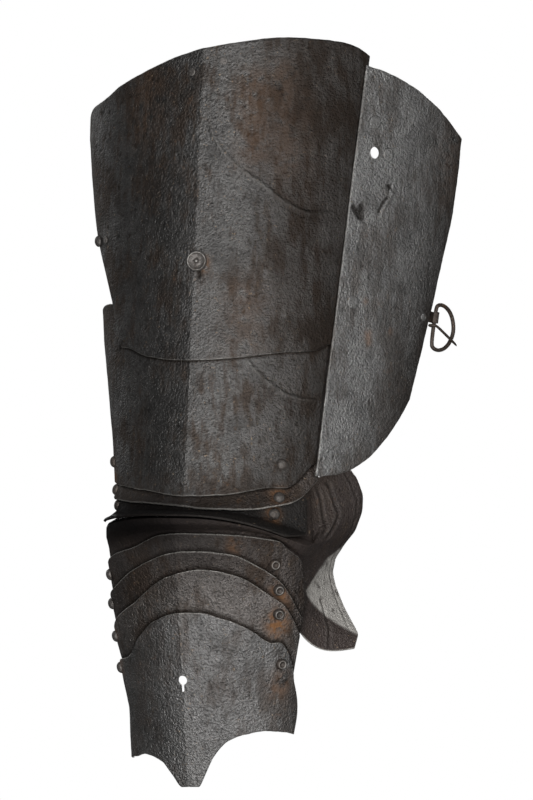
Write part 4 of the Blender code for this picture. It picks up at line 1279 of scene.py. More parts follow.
def dense_rows(rows: np.ndarray, spacing: float) -> np.ndarray:
    """Fill in between rows of points at a spacing, and round the folds between them a little.

    Args:
        rows: Rows of points, the first axis going from one edge to the other.
        spacing: Distance between the new rows.

    Returns:
        The filled grid.
    """
    lengths = np.linalg.norm(np.diff(rows, axis=0), axis=-1).max(1)
    keys = [0.0, 0.35 / max(2, round(lengths[0] / spacing))]
    for index, length in enumerate(lengths):
        count = max(2, round(length / spacing))
        keys += [index + step / count for step in range(1, count + 1)]
    keys.insert(-1, keys[-1] - 0.35 / max(2, round(lengths[-1] / spacing)))
    keys = np.array(keys)
    index = np.clip(keys.astype(int), 0, len(rows) - 2)
    share = (keys - index)[:, None, None]
    grid = rows[index] * (1 - share) + rows[index + 1] * share
    kernel = np.array([1, 2, 3, 2, 1]) / 9.0
    for _ in range(3):
        padded = np.pad(grid, ((2, 2), (0, 0), (0, 0)), mode="reflect", reflect_type="odd")
        grid = sum(weight * padded[step:step + len(grid)] for step, weight in enumerate(kernel))
    return grid


@dataclass(frozen=True)
class KneePlate(Plate):
    """A knee plate given row by row. Its measures are an angle, or 90 and ten times the way along the
    wing, and a place between the rows."""

    rows: Table = ()
    lower_from: int = 99
    inner_end: float = -84.0
    outer_end: Callable[[Sequence[float]], float] = lambda row: 90.0
    wing: bool = False

    def row_points(self, index: int, angle: np.ndarray) -> np.ndarray:
        """Points of one row at angles.

        Args:
            index: The row.
            angle: Angles round the leg in degrees.

        Returns:
            The points.
        """
        reach, side, front_rise, inner_rise, outer_rise, inner, outer, late = self.rows[index][:8]
        base = SHIN_FRONT - COP_TUCK_BELOW if index >= self.lower_from else THIGH_FRONT - COP_TUCK_ABOVE
        front = -(base + (KNEE_REACH - base) * reach)
        turn = np.abs(angle) / 90.0
        ease = (turn * turn * (3 - 2 * turn)) ** np.where(angle < 0, KNEE_EASE, late)
        side_rise = np.where(angle < 0, inner_rise, outer_rise)
        height = KNEE_LEVEL + KNEE_SPAN * (front_rise + (side_rise - front_rise) * ease)
        full = np.ones_like(height)
        section = Section(front * full, (side * KNEE_DEPTH - front) * full,
                          inner * KNEE_MEDIAL * full, outer * KNEE_LATERAL * full)
        return bend(section, angle, height)

    def wing_points(self, index: int, share: np.ndarray) -> np.ndarray:
        """Points of one row along the wing, from the outer side of the knee to the rim.

        Args:
            index: The row.
            share: Shares of the way to the rim.

        Returns:
            The points.
        """
        start = self.row_points(index, np.array([90.0]))[0]
        outward, back, rise, sag = WING_RIM[index]
        far = np.array((start[0] + outward * WING_FLARE, back * WING_DEPTH, KNEE_LEVEL + rise * KNEE_SPAN))
        points = start + (far - start) * share[:, None]
        points[:, 0] = start[0] + (far[0] - start[0]) * share ** WING_CURVE
        points[:, 2] += sag * KNEE_SPAN * np.sin(math.pi * share)
        return points

    def at(self, across: float, up: float) -> np.ndarray:
        """Point of the outer face at an angle or a share of the wing, and a place between the rows.

        Args:
            across: The plate's first measure.
            up: The plate's second measure.

        Returns:
            The point.
        """
        index = min(int(up), len(self.rows) - 2)
        pair = []
        for row in (index, index + 1):
            if across > 90.0:
                pair.append(self.wing_points(row, np.array([(across - 90.0) / 10.0]))[0])
            else:
                pair.append(self.row_points(row, np.array([across]))[0])
        return pair[0] + (pair[1] - pair[0]) * (up - index)

    def outer(self) -> np.ndarray:
        """Grid of the outer face.

        Returns:
            The grid.
        """
        inner = edge_shares(1.0, GRID / (KNEE_MEDIAL * 1.4))
        outer = edge_shares(1.0, GRID / (KNEE_LATERAL * 1.4))
        rows = []
        for index, row in enumerate(self.rows):
            last = self.outer_end(row)
            angle = np.concatenate((self.inner_end * inner[::-1][:-1], last * outer))
            points = self.row_points(index, angle)
            if self.wing:
                share = edge_shares(1.0, GRID / WING_DEPTH)[2:]
                points = np.concatenate((points, self.wing_points(index, share)))
            rows.append(points)
        return dense_rows(np.array(rows[::-1]), GRID)

    def bare(self, grid: np.ndarray) -> np.ndarray:
        """The middle of the wing is worn bare and painted with a bright highlight, in a wedge that widens
        towards its rim.

        Args:
            grid: Points of the outer face, its rows going up.

        Returns:
            The bareness of each point.
        """
        if not self.wing:
            return super().bare(grid)
        back = grid[..., 1] + ORIGIN[1] - BARE_HIGHLIGHT_START
        height = grid[..., 2] + ORIGIN[2] - BARE_HIGHLIGHT_LEVEL
        inside = np.minimum(back * BARE_HIGHLIGHT_UPPER - height, height + back * BARE_HIGHLIGHT_LOWER)
        inside = np.where(grid[..., 0] > 0, np.minimum(inside, back), -1.0)
        return np.clip(inside / BARE_HIGHLIGHT_FADE, 0.0, 1.0)


@dataclass(frozen=True)
class SidePlate(Plate):
    """The hinged plate. Its measures are a share of its width and a rise over the knee line."""

    @staticmethod
    def bowed(width: np.ndarray, height: np.ndarray) -> np.ndarray:
        """Points at widths behind the hinged edge and at heights.

        Args:
            width: Widths behind the hinged edge.
            height: Heights over the lowest tip.

        Returns:
            The points, in a last axis of three.
        """
        section = thigh_section(height)
        start = bend(section, np.full_like(height, SEAM_ANGLE), height, SIDE_LIFT)
        ahead = bend(section, np.full_like(height, SEAM_ANGLE - 1), height, SIDE_LIFT)
        heading = np.arctan2(start[..., 1] - ahead[..., 1], start[..., 0] - ahead[..., 0])
        turn = heading + width / SIDE_BEND_RADIUS
        return np.stack((
            start[..., 0] + SIDE_BEND_RADIUS * (np.sin(turn) - np.sin(heading)),
            start[..., 1] - SIDE_BEND_RADIUS * (np.cos(turn) - np.cos(heading)), height), -1)

    def at(self, across: float, up: float) -> np.ndarray:
        """Point of the outer face at a share of the width and a rise."""
        return self.bowed(np.array(across * SIDE_WIDTH), np.array(KNEE_LEVEL + up * THIGH_RISE))

    def outer(self) -> np.ndarray:
        """Grid of the outer face.

        Returns:
            The grid.
        """
        table = [(index, *row) for index, row in enumerate(SIDE_ROWS)]
        rise = (SIDE_ROWS[-1][1] - SIDE_ROWS[0][1]) * THIGH_RISE
        keys = (len(SIDE_ROWS) - 1) * edge_shares(1.0, GRID / rise / 1.15)
        share = edge_shares(1.0, GRID / SIDE_WIDTH)[None, :]
        hinged, free, width, bulge, slant = (flow(table, keys, column)[:, None] for column in range(1, 6))
        up = hinged + (free - hinged) * share ** slant + bulge * 4 * share * (1 - share)
        height = KNEE_LEVEL + up * THIGH_RISE + RAGGED * waver(share * 100, self.seed, 1.5)
        across = width * SIDE_WIDTH * share
        across = across + RAGGED * waver(height * 1000, self.seed + 4, 2.0) * share ** 6
        return self.bowed(across, height)

    def patina(self, grid: np.ndarray) -> np.ndarray:
        """Painted shade darkens the plate towards the free edge."""
        share = np.clip((np.linspace(0.0, 1.0, grid.shape[1]) - 0.30) / 0.70, 0.0, 1.0)
        return np.broadcast_to(self.dark * share ** 1.5, grid.shape[:2])

    def hole_frame(self) -> Matrix:
        """Place and outward direction of the strap hole.

        Returns:
            The hole's frame.
        """
        height = STRAP_HOLE_RISE
        width = STRAP_HOLE_WIDTH / SIDE_WIDTH
        place = self.at(width, height)
        out = np.cross(self.at(width + PROBE_STEP, height) - place,
                       self.at(width, height + PROBE_STEP) - place)
        return aimed(place - ORIGIN, out)

    def cutters(self) -> list[bpy.types.Object]:
        """The round strap hole."""
        return [round_cutter(STRAP_HOLE, self.hole_frame())]

    def hole_edge(self, points: np.ndarray) -> np.ndarray:
        """Nearness to the strap hole's edge."""
        far = np.linalg.norm(points - np.array(self.hole_frame().translation), axis=1)
        return np.exp(-np.abs(far - STRAP_HOLE) / HOLE_WEAR)


@dataclass(frozen=True)
class ShinPlate(Trough):
    """The lowest plate, with its keyhole."""

    def hole_frame(self) -> Matrix:
        """Place and outward direction of the keyhole.

        Returns:
            The hole's frame.
        """
        place = self.at(0.0, KEYHOLE_RISE)
        up = self.at(0.0, KEYHOLE_RISE + PROBE_STEP) - place
        return aimed(place - ORIGIN, np.cross(np.array((1.0, 0.0, 0.0)), up))

    def cutters(self) -> list[bpy.types.Object]:
        """The round of the keyhole and its slot.

        Returns:
            The cutting solids.
        """
        hole = self.hole_frame()
        slot = hole @ Matrix.Translation((0.0, -KEYHOLE_DROP / 2, 0.0))
        return [round_cutter(KEYHOLE_RADIUS, hole),
                box_cutter((KEYHOLE_SLOT, KEYHOLE_DROP, HOLE_LENGTH), slot)]

    def hole_edge(self, points: np.ndarray) -> np.ndarray:
        """Nearness to the round of the keyhole."""
        far = np.linalg.norm(points - np.array(self.hole_frame().translation), axis=1)
        return np.exp(-np.abs(far - KEYHOLE_RADIUS) / HOLE_WEAR)


def aimed(place: np.ndarray, out: np.ndarray) -> Matrix:
    """Frame at a place whose third axis points out and whose second goes up."""
    turn = Vector(out / np.linalg.norm(out)).to_track_quat("Z", "Y").to_matrix().to_4x4()
    return Matrix.Translation(Vector(place)) @ turn


def round_cutter(radius: float, place: Matrix) -> bpy.types.Object:
    """A round solid to cut a hole with.

    Args:
        radius: Radius of the hole.
        place: Where it is.

    Returns:
        The hidden solid.
    """
    mesh = bmesh.new()
    bmesh.ops.create_cone(mesh, cap_ends=True, segments=HOLE_SIDES, radius1=radius, radius2=radius,
                          depth=HOLE_LENGTH)
    return cutter_object(mesh, place)


def box_cutter(size: tuple[float, float, float], place: Matrix) -> bpy.types.Object:
    """A box to cut a slot with.

    Args:
        size: Its three sides.
        place: Where it is.

    Returns:
        The hidden solid.
    """
    mesh = bmesh.new()
    bmesh.ops.create_cube(mesh, size=1.0)
    bmesh.ops.scale(mesh, vec=size, verts=mesh.verts)
    return cutter_object(mesh, place)


def cutter_object(mesh: bmesh.types.BMesh, place: Matrix) -> bpy.types.Object:
    """A hidden object from a mesh being edited, moved to its place.

    Args:
        mesh: The mesh that is being edited.
        place: Where it is.

    Returns:
        The hidden solid.
    """
    mesh.transform(place)
    item = from_bmesh("cutter", mesh)
    item.hide_render = True
    return item


class HeadKind(Enum):
    """Outlines of rivet heads, as radius, height and rubbing, for a head of size one."""

    DOMED = ((0.0, 1.0, 0.5), (0.28, 0.96, 0.5), (0.54, 0.83, 0.45), (0.76, 0.60, 0.3), (0.91, 0.32, 0.15),
             (0.98, 0.08, 0.0), (1.0, -0.14, 0.0), (0.0, -0.14, 0.0))
    DISHED = ((0.0, 0.30, 0.0), (0.20, 0.34, 0.0), (0.36, 0.52, 0.1), (0.50, 0.86, 0.6), (0.62, 1.0, 0.9),
              (0.76, 0.92, 0.5), (0.90, 0.55, 0.1), (0.99, 0.15, 0.0), (1.0, -0.14, 0.0), (0.0, -0.14, 0.0))
    FLUSH = ((0.0, 0.9, 0.2), (0.55, 1.0, 0.2), (0.82, 0.92, 0.5), (0.95, 0.55, 0.8), (1.0, 0.0, 0.0),
             (1.0, -0.5, 0.0), (0.0, -0.5, 0.0))
    STUD = ((0.0, 1.0, 0.9), (0.10, 0.97, 0.8), (0.17, 0.84, 0.3), (0.21, 0.55, 0.0), (0.30, 0.40, 0.0),
            (0.52, 0.40, 0.3), (0.70, 0.52, 0.4), (0.80, 0.66, 0.3), (0.86, 0.86, 0.8), (0.92, 0.88, 0.7),
            (0.98, 0.66, 0.2), (1.0, 0.25, 0.0), (1.0, -0.10, 0.0), (0.0, -0.10, 0.0))
    FOOT = ((0.0, 1.0, 0.3), (0.45, 1.0, 0.3), (0.80, 0.85, 0.3), (0.97, 0.45, 0.1), (1.0, 0.0, 0.0),
            (0.66, 0.0, 0.0), (0.66, -1.6, 0.0), (0.0, -1.6, 0.0))


def turned_head(kind: HeadKind, steps: int = 32) -> bpy.types.Object:
    """Turn a head's outline round its axis.

    Args:
        kind: The outline.
        steps: How many faces go round.

    Returns:
        A closed head of size one, its rubbed places painted.
    """
    outline = kind.value
    points, worn, rings, faces = [], [], [], []
    for radius, height, rub in outline:
        count = steps if radius else 1
        rings.append(list(range(len(points), len(points) + count)))
        for step in range(count):
            turn = math.tau * step / steps
            points.append((radius * math.cos(turn), radius * math.sin(turn), height))
            worn.append(rub)
    for upper, lower in zip(rings, rings[1:]):
        for step in range(steps):
            after = (step + 1) % steps
            face = [upper[step % len(upper)], lower[step % len(lower)],
                    lower[after % len(lower)], upper[after % len(upper)]]
            faces.append(list(dict.fromkeys(face)))
    item = new_object("head_" + kind.name.lower(), np.array(points), faces)
    item.hide_render = True
    paint(item, "edge", np.array(worn))
    return item


@dataclass(frozen=True)
class Seat:
    """Where a rivet sits, read from its solid."""

    place: np.ndarray
    out: np.ndarray
    radius: float
    height: float
    foot_place: np.ndarray
    foot_radius: float
    foot_height: float

    @classmethod
    def read(cls, node: str) -> "Seat":
        """Read a turned solid: its axis, and the levels of its head and its foot.

        Args:
            node: Name of the rivet's solid.

        Returns:
            The rivet's seat.
        """
        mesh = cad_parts[node].data
        points = np.unique(np.array([tuple(v.co) for v in mesh.vertices]).round(6), axis=0)
        middle = points.mean(0)
        spreads, axes = np.linalg.eigh(np.cov((points - middle).T))
        alone = 0 if abs(spreads[1] - spreads[0]) > abs(spreads[2] - spreads[1]) else 2
        axis = axes[:, alone]
        if axis[:2] @ (middle[:2] - LEG_AXIS) < 0:
            axis = -axis
        along = (points - middle) @ axis
        round_it = np.linalg.norm(points - middle - np.outer(along, axis), axis=1)
        levels = np.unique(along.round(4))[::-1]
        base, foot = levels[3], levels[-2]
        at = [np.abs(along - level) < 0.0001 for level in (base, foot)]
        return cls(middle + axis * base, axis, round_it[at[0]].max(), levels[0] - base,
                   middle + axis * foot, round_it[at[1]].max(), foot - levels[-1])


@dataclass(frozen=True)
class RivetRow:
    """The rivets of one kind on one body."""

    name: str
    body: str
    kind: HeadKind
    nodes: tuple[str, ...]
    finish: IronFinish = RIVET_IRON
    seed: int = 3

    def build(self, riveting: bpy.types.NodeTree) -> bpy.types.Object:
        """Make the heads and the spread feet as one piece, and join it to its body.

        Args:
            riveting: The tree that sets heads on points.

        Returns:
            The finished piece.
        """
        seats = [Seat.read(node) for node in self.nodes]
        heads = self.set_out(riveting, self.kind, [
            (seat.place, seat.out, seat.radius, seat.height) for seat in seats])
        feet = self.set_out(riveting, HeadKind.FOOT, [
            (seat.foot_place, -seat.out, seat.foot_radius, seat.foot_height) for seat in seats])
        both = bmesh.new()
        both.from_mesh(heads.data)
        both.from_mesh(feet.data)
        both.to_mesh(heads.data)
        both.free()
        bpy.data.objects.remove(feet)
        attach(heads, self.body)
        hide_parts(*self.nodes)
        log.info("%s: %d rivets", self.name, len(seats))
        return heads

    def set_out(self, riveting: bpy.types.NodeTree, kind: HeadKind, seats: list) -> bpy.types.Object:
        """Set heads of a kind on seats, each a place, a direction, a radius and a height.

        Args:
            riveting: The tree that sets heads on points.
            kind: Outline of the heads.
            seats: A place, a direction, a radius and a height for each head.

        Returns:
            The heads, as one object.
        """
        item = new_object("seats", np.array([seat[0] for seat in seats]), [])
        paint(item, "outward", np.array([seat[1] for seat in seats]))
        paint(item, "size", np.array([(seat[2], seat[2], seat[3]) for seat in seats]))
        head = turned_head(kind)
        change = item.modifiers.new("riveting", "NODES")
        change.node_group = riveting
        set_input(change, "Head", head)
        set_input(change, "Seed", self.seed)
        set_input(change, "Hammer Depth", HEAD_HAMMER_DEPTH)
        set_input(change, "Hammer Size", HEAD_HAMMER_SIZE)
        set_input(change, "Material", self.finish.build())
        made = harden(item, self.name)
        bpy.data.objects.remove(head)
        return made


@dataclass(frozen=True)
class Fitting:
    """A fitting whose solid has the right shape: its copy gets eased edges and a finish."""

    name: str
    node: str
    body: str
    finish: IronFinish
    ease: float = 0.00025
    levels: int = 0

    def build(self) -> bpy.types.Object:
        """Make the fitting and join it to its body.

        Returns:
            The finished piece.
        """
        mesh = bmesh.new()
        mesh.from_mesh(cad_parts[self.node].data)
        bmesh.ops.remove_doubles(mesh, verts=mesh.verts, dist=0.00001)
        bmesh.ops.join_triangles(
            mesh, faces=mesh.faces, angle_face_threshold=0.4, angle_shape_threshold=3.1,
            cmp_seam=False, cmp_sharp=False, cmp_uvs=False, cmp_vcols=False, cmp_materials=False)
        item = from_bmesh(self.node + "_copy", mesh)
        item.data.materials.clear()
        item.data.materials.append(self.finish.build())
        if self.levels:
            change = item.modifiers.new("smooth", "SUBSURF")
            change.levels = change.render_levels = self.levels
        else:
            change = item.modifiers.new("ease", "BEVEL")
            change.width = self.ease
            change.segments = 2
            change.limit_method = "ANGLE"
        piece = harden(item, self.name)
        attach(piece, self.body)
        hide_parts(self.node)
        log.info("%s: %d faces", self.name, len(piece.data.polygons))
        return piece


def thigh_set() -> list[Plate]:
    """The two fixed thigh plates and the hinged side plate.

    Returns:
        The plates.
    """
    upper = Trough(
        "thigh_plate_upper", "cuisse_upper", "cuisse", THIGH_IRON, seed=1, dark=0.80,
        edges=((UPPER_BOTTOM, THIGH_RISE, UPPER_LIFT), (UPPER_TOP, THIGH_RISE, UPPER_LIFT)),
        ends=lambda share: (end(UPPER_INNER_END, share), LAP_ANGLE),
        marks=(
            Mark(MarkKind.BEAD, ((1.8, 0.852), (6.2, 0.787), (14.8, 0.736), (24.7, 0.701), (36.3, 0.660),
                                 (48.1, 0.640), (62.2, 0.640)), 0.0014, 0.00085),
            Mark(MarkKind.BEAD, ((-0.6, 0.824), (-1.8, 0.805), (-4.0, 0.785)), 0.0013, 0.00035),
            Mark(MarkKind.GOUGE, ((1.6, 0.532), (2.2, 0.519), (2.4, 0.508)), 0.0016, 0.0009),
        ),
        stains=(Stain((3.9, 0.541), 0.004, 0.004, 0.9), Stain((21.0, 0.90), 0.016, 0.05, 0.34),
                Stain((31.0, 0.92), 0.014, 0.07, 0.42), Stain((40.0, 0.88), 0.007, 0.08, 0.40),
                Stain((23.0, 0.47), 0.020, 0.03, 0.20), Stain((-25.0, 0.90), 0.020, 0.03, 0.20)))
    lower = Trough(
        "thigh_plate_lower", "cuisse_lower", "cuisse", THIGH_IRON, seed=2, dark=0.65,
        edges=((LOWER_BOTTOM, KNEE_SPAN, 0.0), (LOWER_TOP, THIGH_RISE, 0.0)),
        ends=lambda share: (-80.0, LAP_ANGLE),
        marks=(Mark(MarkKind.BEAD, ((23.7, 0.346), (29.2, 0.319), (37.0, 0.291), (47.0, 0.268),
                                    (56.8, 0.260), (67.2, 0.258)), 0.0014, 0.00080),
               Mark(MarkKind.GRIME, UPPER_BOTTOM, 0.0022)),
        stains=(Stain((48.0, 0.074), 0.005, 0.006, 0.9), Stain((-68.0, 0.11), 0.006, 0.014, 0.8)))
    side = SidePlate(
        "side_plate_forged", "side_plate", "side_plate", PAINTED_LIT_SIDE_IRON, seed=5, pit_depth=0.00034, dark=0.85,
        marks=(
            Mark(MarkKind.BEAD, ((0.29, 0.368), (0.43, 0.348), (0.59, 0.336), (0.715, 0.346), (0.845, 0.350)),
                 0.0010, 0.00035),
            Mark(MarkKind.BEAD, ((0.52, 0.556), (0.74, 0.552), (0.97, 0.546)), 0.0010, 0.00025),
            Mark(MarkKind.GOUGE, ((0.012, 0.660), (0.055, 0.648), (0.10, 0.634), (0.15, 0.629)),
                 0.0026, 0.0013),
            Mark(MarkKind.GOUGE, ((0.085, 0.662), (0.11, 0.650), (0.10, 0.638)), 0.0024, 0.0012),
            Mark(MarkKind.BEAD, ((0.08, 0.622), (0.14, 0.617), (0.19, 0.620)), 0.0018, 0.0007),
            Mark(MarkKind.GOUGE, ((0.31, 0.703), (0.34, 0.690)), 0.0020, 0.0010),
            Mark(MarkKind.BEAD, ((0.37, 0.690), (0.35, 0.676), (0.30, 0.655), (0.28, 0.630)), 0.0016, 0.0008),
            Mark(MarkKind.GOUGE, ((0.33, 0.678), (0.28, 0.660), (0.25, 0.640)), 0.0014, 0.0006),
        ),
        stains=(Stain((0.30, 0.395), 0.004, 0.006, 0.6), Stain((0.50, 0.40), 0.003, 0.0, 0.6),
                Stain((0.24, 0.462), 0.003, 0.0, 0.5), Stain((0.92, 0.77), 0.02, 0.03, 0.35)))
    return [upper, lower, side]


def knee_set() -> list[Plate]:
    """The lames over the knee, and the knee cop with its wing.

    Returns:
        The plates.
    """
    lame_a = Trough(
        "thigh_lame", "lame_a", "lame_a", DARK_LAME_IRON, seed=6, span=KNEE_SPAN, hammer=LAME_HAMMER,
        marks=(Mark(MarkKind.GRIME, LOWER_BOTTOM, 0.0024),),
        edges=((LAME_A_EDGE, KNEE_SPAN, 0.0), (LOWER_BOTTOM, KNEE_SPAN, -STEP),
               (LAME_A_HIDDEN, KNEE_SPAN, -STEP - TUCK)),
        counts=(2, 3), ends=lambda share: (-80.0, 76.0),
        stains=(Stain((47.0, 0.155), 0.007, 0.004, 1.0),))
    lame_b = KneePlate(
        "knee_lame", "lame_b", "lame_b", PAINTED_SHADE_IRON, seed=7, rows=LAME_B_ROWS, inner_end=LAME_B_INNER_END,
        outer_end=lambda row: row[8], stains=(Stain((47.0, 1.6), 0.006, 0.004, 0.8),))
    rim = tuple((98.9, float(row)) for row in range(13))
    cop = KneePlate(
        "knee_cop_forged", "knee_cop", "knee_cop", KNEE_IRON, seed=8, rows=COP_ROWS,
        lower_from=LOWER_HALF_ROW, inner_end=COP_INNER_END, wing=True,
        marks=(
            Mark(MarkKind.GROOVE, rim, 0.0010, 0.0005),
            Mark(MarkKind.GROOVE, ((95.0, 0.3), (95.6, 1.5), (95.8, 2.7), (95.0, 3.9), (93.2, 4.9)),
                 0.0014, 0.0008),
            Mark(MarkKind.GROOVE, ((92.6, 0.3), (93.2, 1.6), (93.2, 2.8), (92.3, 3.8)), 0.0014, 0.0008),
            Mark(MarkKind.GROOVE, ((95.6, 9.6), (96.0, 10.8), (96.4, 12.0)), 0.0013, 0.0007),
        ))
    return [lame_a, lame_b, cop]


def shin_set() -> list[Plate]:
    """The three lames below the knee and the lowest plate.

    Returns:
        The plates.
    """
    lame_1 = Trough(
        "shin_lame_1", "lame_1", "lame_1", DARK_LAME_IRON, seed=9, section=shin_section,
        span=KNEE_SPAN, hammer=LAME_HAMMER,
        marks=(Mark(MarkKind.GRIME, LAME_2_EDGE, 0.0036),),
        edges=((LAME_1_EDGE, KNEE_SPAN, 0.0), (LAME_2_EDGE, KNEE_SPAN, -STEP),
               (LAME_1_HIDDEN, KNEE_SPAN, -STEP - TUCK)),
        counts=(3, 3), ends=lambda share: (-78.0, end(LAME_1_OUTER_END, share)),
        stains=(Stain((30.0, -0.06), 0.006, 0.012, 0.7),))
    lame_2 = Trough(
        "shin_lame_2", "lame_2", "lame_2", DARK_LAME_IRON, seed=10, section=shin_section,
        span=KNEE_SPAN, hammer=LAME_HAMMER,
        marks=(Mark(MarkKind.GRIME, LAME_3_EDGE, 0.0036),),
        edges=((LAME_2_EDGE, KNEE_SPAN, 0.0), (LAME_3_EDGE, KNEE_SPAN, -STEP),
               (LAME_2_HIDDEN, KNEE_SPAN, -STEP - TUCK)),
        counts=(3, 3), ends=lambda share: (-80.0, 82.0),
        stains=(Stain((56.0, -0.285), 0.0075, 0.004, 1.3), Stain((57.5, -0.325), 0.006, 0.004, 1.0),))
    lame_3 = Trough(
        "shin_lame_3", "lame_3", "lame_3", LAME_IRON, seed=11, section=shin_section,
        span=KNEE_SPAN, hammer=LAME_HAMMER,
        marks=(Mark(MarkKind.GRIME, SHIN_TOP, 0.0036),),
        edges=((LAME_3_EDGE, KNEE_SPAN, 0.0), (SHIN_TOP, KNEE_SPAN, -STEP),
               (LAME_3_HIDDEN, KNEE_SPAN, -STEP - TUCK)),
        counts=(4, 3), ends=lambda share: (-80.0, 79.0),
        stains=(Stain((56.0, -0.395), 0.0085, 0.003, 1.4), Stain((55.0, -0.43), 0.006, 0.004, 1.0),
                Stain((-67.0, -0.46), 0.005, 0.0, 0.7)))
    shin = ShinPlate(
        "shin_plate_forged", "shin_plate", "shin_plate", SHIN_IRON, seed=12, section=shin_section,
        span=SHIN_DROP, hammer=SHIN_HAMMER,
        edges=((SHIN_BOTTOM, SHIN_DROP, 0.0), (SHIN_TOP, KNEE_SPAN, 0.0)), counts=(9,),
        ends=lambda share: (end(SHIN_INNER_END, share), end(SHIN_OUTER_END, share)),
        stains=(Stain((61.0, -0.60), 0.010, 0.004, 0.5), Stain((-66.0, -0.53), 0.006, 0.004, 0.7)))
    return [lame_1, lame_2, lame_3, shin]


def rivet_rows() -> list[RivetRow]:
    """All rivets and the stud.

    Returns:
        The rows of rivets.
    """
    found = [
        RivetRow("stud_thigh", "cuisse", HeadKind.STUD, ("main_stud",)),
        RivetRow("flush_rivets_thigh", "cuisse", HeadKind.FLUSH,
                 ("hanging_rivet_inner", "hanging_rivet_outer", "strap_rivet_front")),
        RivetRow("domed_rivets_thigh", "cuisse", HeadKind.DOMED,
                 ("strap_rivet_back", "pivot_cuisse_inner", "pivot_cuisse_outer")),
        RivetRow("flush_rivets_side", "side_plate", HeadKind.FLUSH,
                 ("side_rivet_upper", "hinge_lower_rivet", "hinge_upper_rivet", "buckle_rivet"), FLUSH_IRON),
    ]
    for lame in ("lame_a", "lame_b"):
        found.append(RivetRow(f"domed_rivets_{lame}", lame, HeadKind.DOMED,
                              (f"pivot_{lame}_inner", f"pivot_{lame}_outer")))
    for place, body in (("lame_1", "lame_1"), ("lame_2", "lame_2"), ("lame_3", "lame_3"),
                        ("shin", "shin_plate")):
        found.append(RivetRow(f"domed_rivet_{place}", body, HeadKind.DOMED, (f"pivot_{place}_inner",)))
        found.append(RivetRow(f"dished_rivet_{place}", body, HeadKind.DISHED, (f"pivot_{place}_outer",),
                              DARK_RIVET_IRON))
    return found


def fittings() -> list[Fitting]:
    """Hinges and buckle.

    Returns:
        The fittings.
    """
    found = []
    for hinge in ("hinge_lower", "hinge_upper"):
        found += [Fitting(f"{hinge}_inner_leaf", f"{hinge}_main_leaf", "cuisse", LAME_IRON),
                  Fitting(f"{hinge}_outer_leaf", f"{hinge}_side_leaf", "side_plate", LAME_IRON),
                  Fitting(f"{hinge}_bar", f"{hinge}_pin", "cuisse", RIVET_IRON)]
    return found + [Fitting("buckle_sleeve", "buckle_tab", "side_plate", BUCKLE_IRON),
                    Fitting("buckle_ring", "buckle_frame", "buckle_frame", BUCKLE_IRON, levels=2),
                    Fitting("buckle_pin", "buckle_tongue", "buckle_tongue", BUCKLE_IRON, levels=2)]


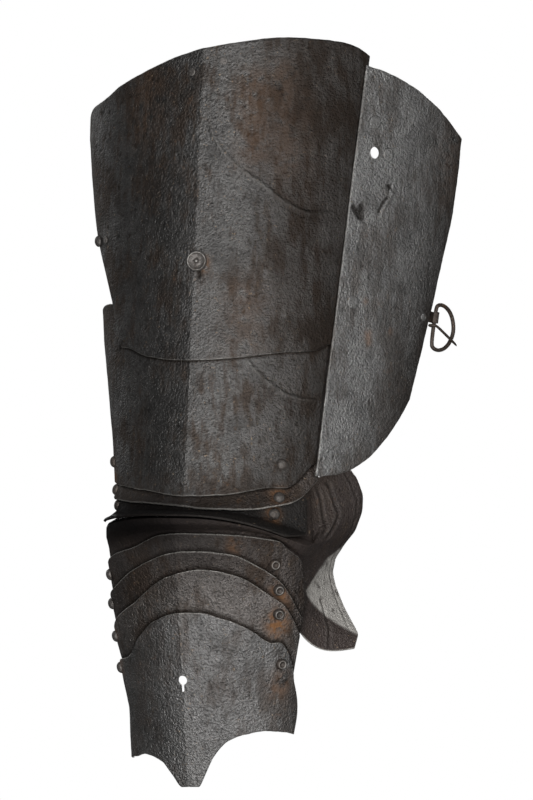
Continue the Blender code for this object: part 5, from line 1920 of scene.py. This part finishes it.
@dataclass(frozen=True)
class Studio:
    """The camera at the photograph's angle, soft lights, a white surround and a pale floor.

    Azimuths are measured from the front of the leg towards its outer side, in degrees.
    """

    azimuth: float = 20.0
    across: float = 0.0488
    level: float = -0.2588
    view_height: float = 0.6208
    lens: float = 300.0
    sensor: float = 36.0
    floor_drop: float = 0.75
    floor_light: float = 2.6
    floor_radius: float = 9.5

    def build(self) -> None:
        """Set up the whole studio."""
        bpy.context.scene.view_settings.view_transform = "Standard"
        self.camera()
        self.surround()
        self.floor()
        for box in SOFT_BOXES:
            self.light(*box)

    def target(self) -> Vector:
        """The point that the camera looks at."""
        turn = math.radians(self.azimuth)
        return Vector((self.across * math.cos(turn), self.across * math.sin(turn), self.level))

    def camera(self) -> None:
        """A long lens at the photograph's angle."""
        data = bpy.data.cameras.new("camera")
        data.lens, data.sensor_width = self.lens, self.sensor
        data.clip_end = VIEW_END
        camera = linked("camera", data)
        turn = math.radians(self.azimuth)
        far = self.view_height * self.lens / self.sensor
        camera.location = self.target() + far * Vector((math.sin(turn), -math.cos(turn), 0.0))
        camera.rotation_euler = (math.pi / 2, 0.0, turn)
        bpy.context.scene.camera = camera

    def surround(self) -> None:
        """A white surround that lights the armour softly."""
        world = bpy.data.worlds.new("surround")
        world.use_nodes = True
        bpy.context.scene.world = world
        graph = Graph(world.node_tree)
        seen = graph.add("ShaderNodeLightPath", {}).outputs["Is Camera Ray"]
        strength = graph.fit(seen, 0.0, 1.0, SURROUND_LIGHT, 1.0)
        lamp = world.node_tree.nodes["Background"]
        lamp.inputs["Color"].default_value = (1.0, 1.0, 1.0, 1.0)
        world.node_tree.links.new(strength, lamp.inputs["Strength"])

    def floor(self) -> None:
        """A plain pale floor under the hanging armour."""
        mesh = bmesh.new()
        bmesh.ops.create_circle(mesh, cap_ends=True, segments=FLOOR_SIDES, radius=self.floor_radius)
        floor = from_bmesh("floor", mesh)
        floor.location.z = CAD_BOX[0].z - self.floor_drop
        floor.visible_diffuse = False
        floor.visible_glossy = False
        material = bpy.data.materials.new("floor_paint")
        material.use_nodes = True
        shader = material.node_tree.nodes["Principled BSDF"]
        shader.inputs["Base Color"].default_value = FLOOR_PAINT
        shader.inputs["Roughness"].default_value = FLOOR_ROUGHNESS
        floor.data.materials.append(material)
        data = bpy.data.lights.new("floor_sun", "SUN")
        data.energy = self.floor_light
        data.angle = FLOOR_SUN_SPREAD
        sun = linked("floor_sun", data)
        lit = bpy.data.collections.new("lit_by_floor_sun")
        lit.objects.link(floor)
        sun.light_linking.receiver_collection = lit

    def light(self, name: str, azimuth: float, elevation: float, far: float,
              size: tuple[float, float], power: float) -> None:
        """A soft box that faces the armour.

        Args:
            name: The light's name.
            azimuth: Direction it stands in, from the front towards the outer side, in degrees.
            elevation: How far above level it stands, in degrees.
            far: Its distance from the middle of the armour.
            size: Its width and height.
            power: Its power in watts.
        """
        data = bpy.data.lights.new(name, "AREA")
        data.shape = "RECTANGLE"
        data.size, data.size_y = size
        data.energy = power
        lamp = linked(name, data)
        turn, rise = math.radians(azimuth), math.radians(elevation)
        away = Vector((math.sin(turn) * math.cos(rise), -math.cos(turn) * math.cos(rise), math.sin(rise)))
        middle = Vector((0.0, 0.02, self.level))
        lamp.location = middle + far * away
        lamp.rotation_euler = away.to_track_quat("Z", "Y").to_euler()
        lamp.visible_camera = False


def main() -> None:
    """Build every piece."""
    logging.basicConfig(level=logging.INFO, format="%(message)s")
    forging, riveting = forging_tree(), rivet_tree()
    for plate in thigh_set() + knee_set() + shin_set():
        plate.build(forging)
    for row in rivet_rows():
        row.build(riveting)
    for fitting in fittings():
        fitting.build()
    Studio().build()


if __name__ == "__main__":
    main()
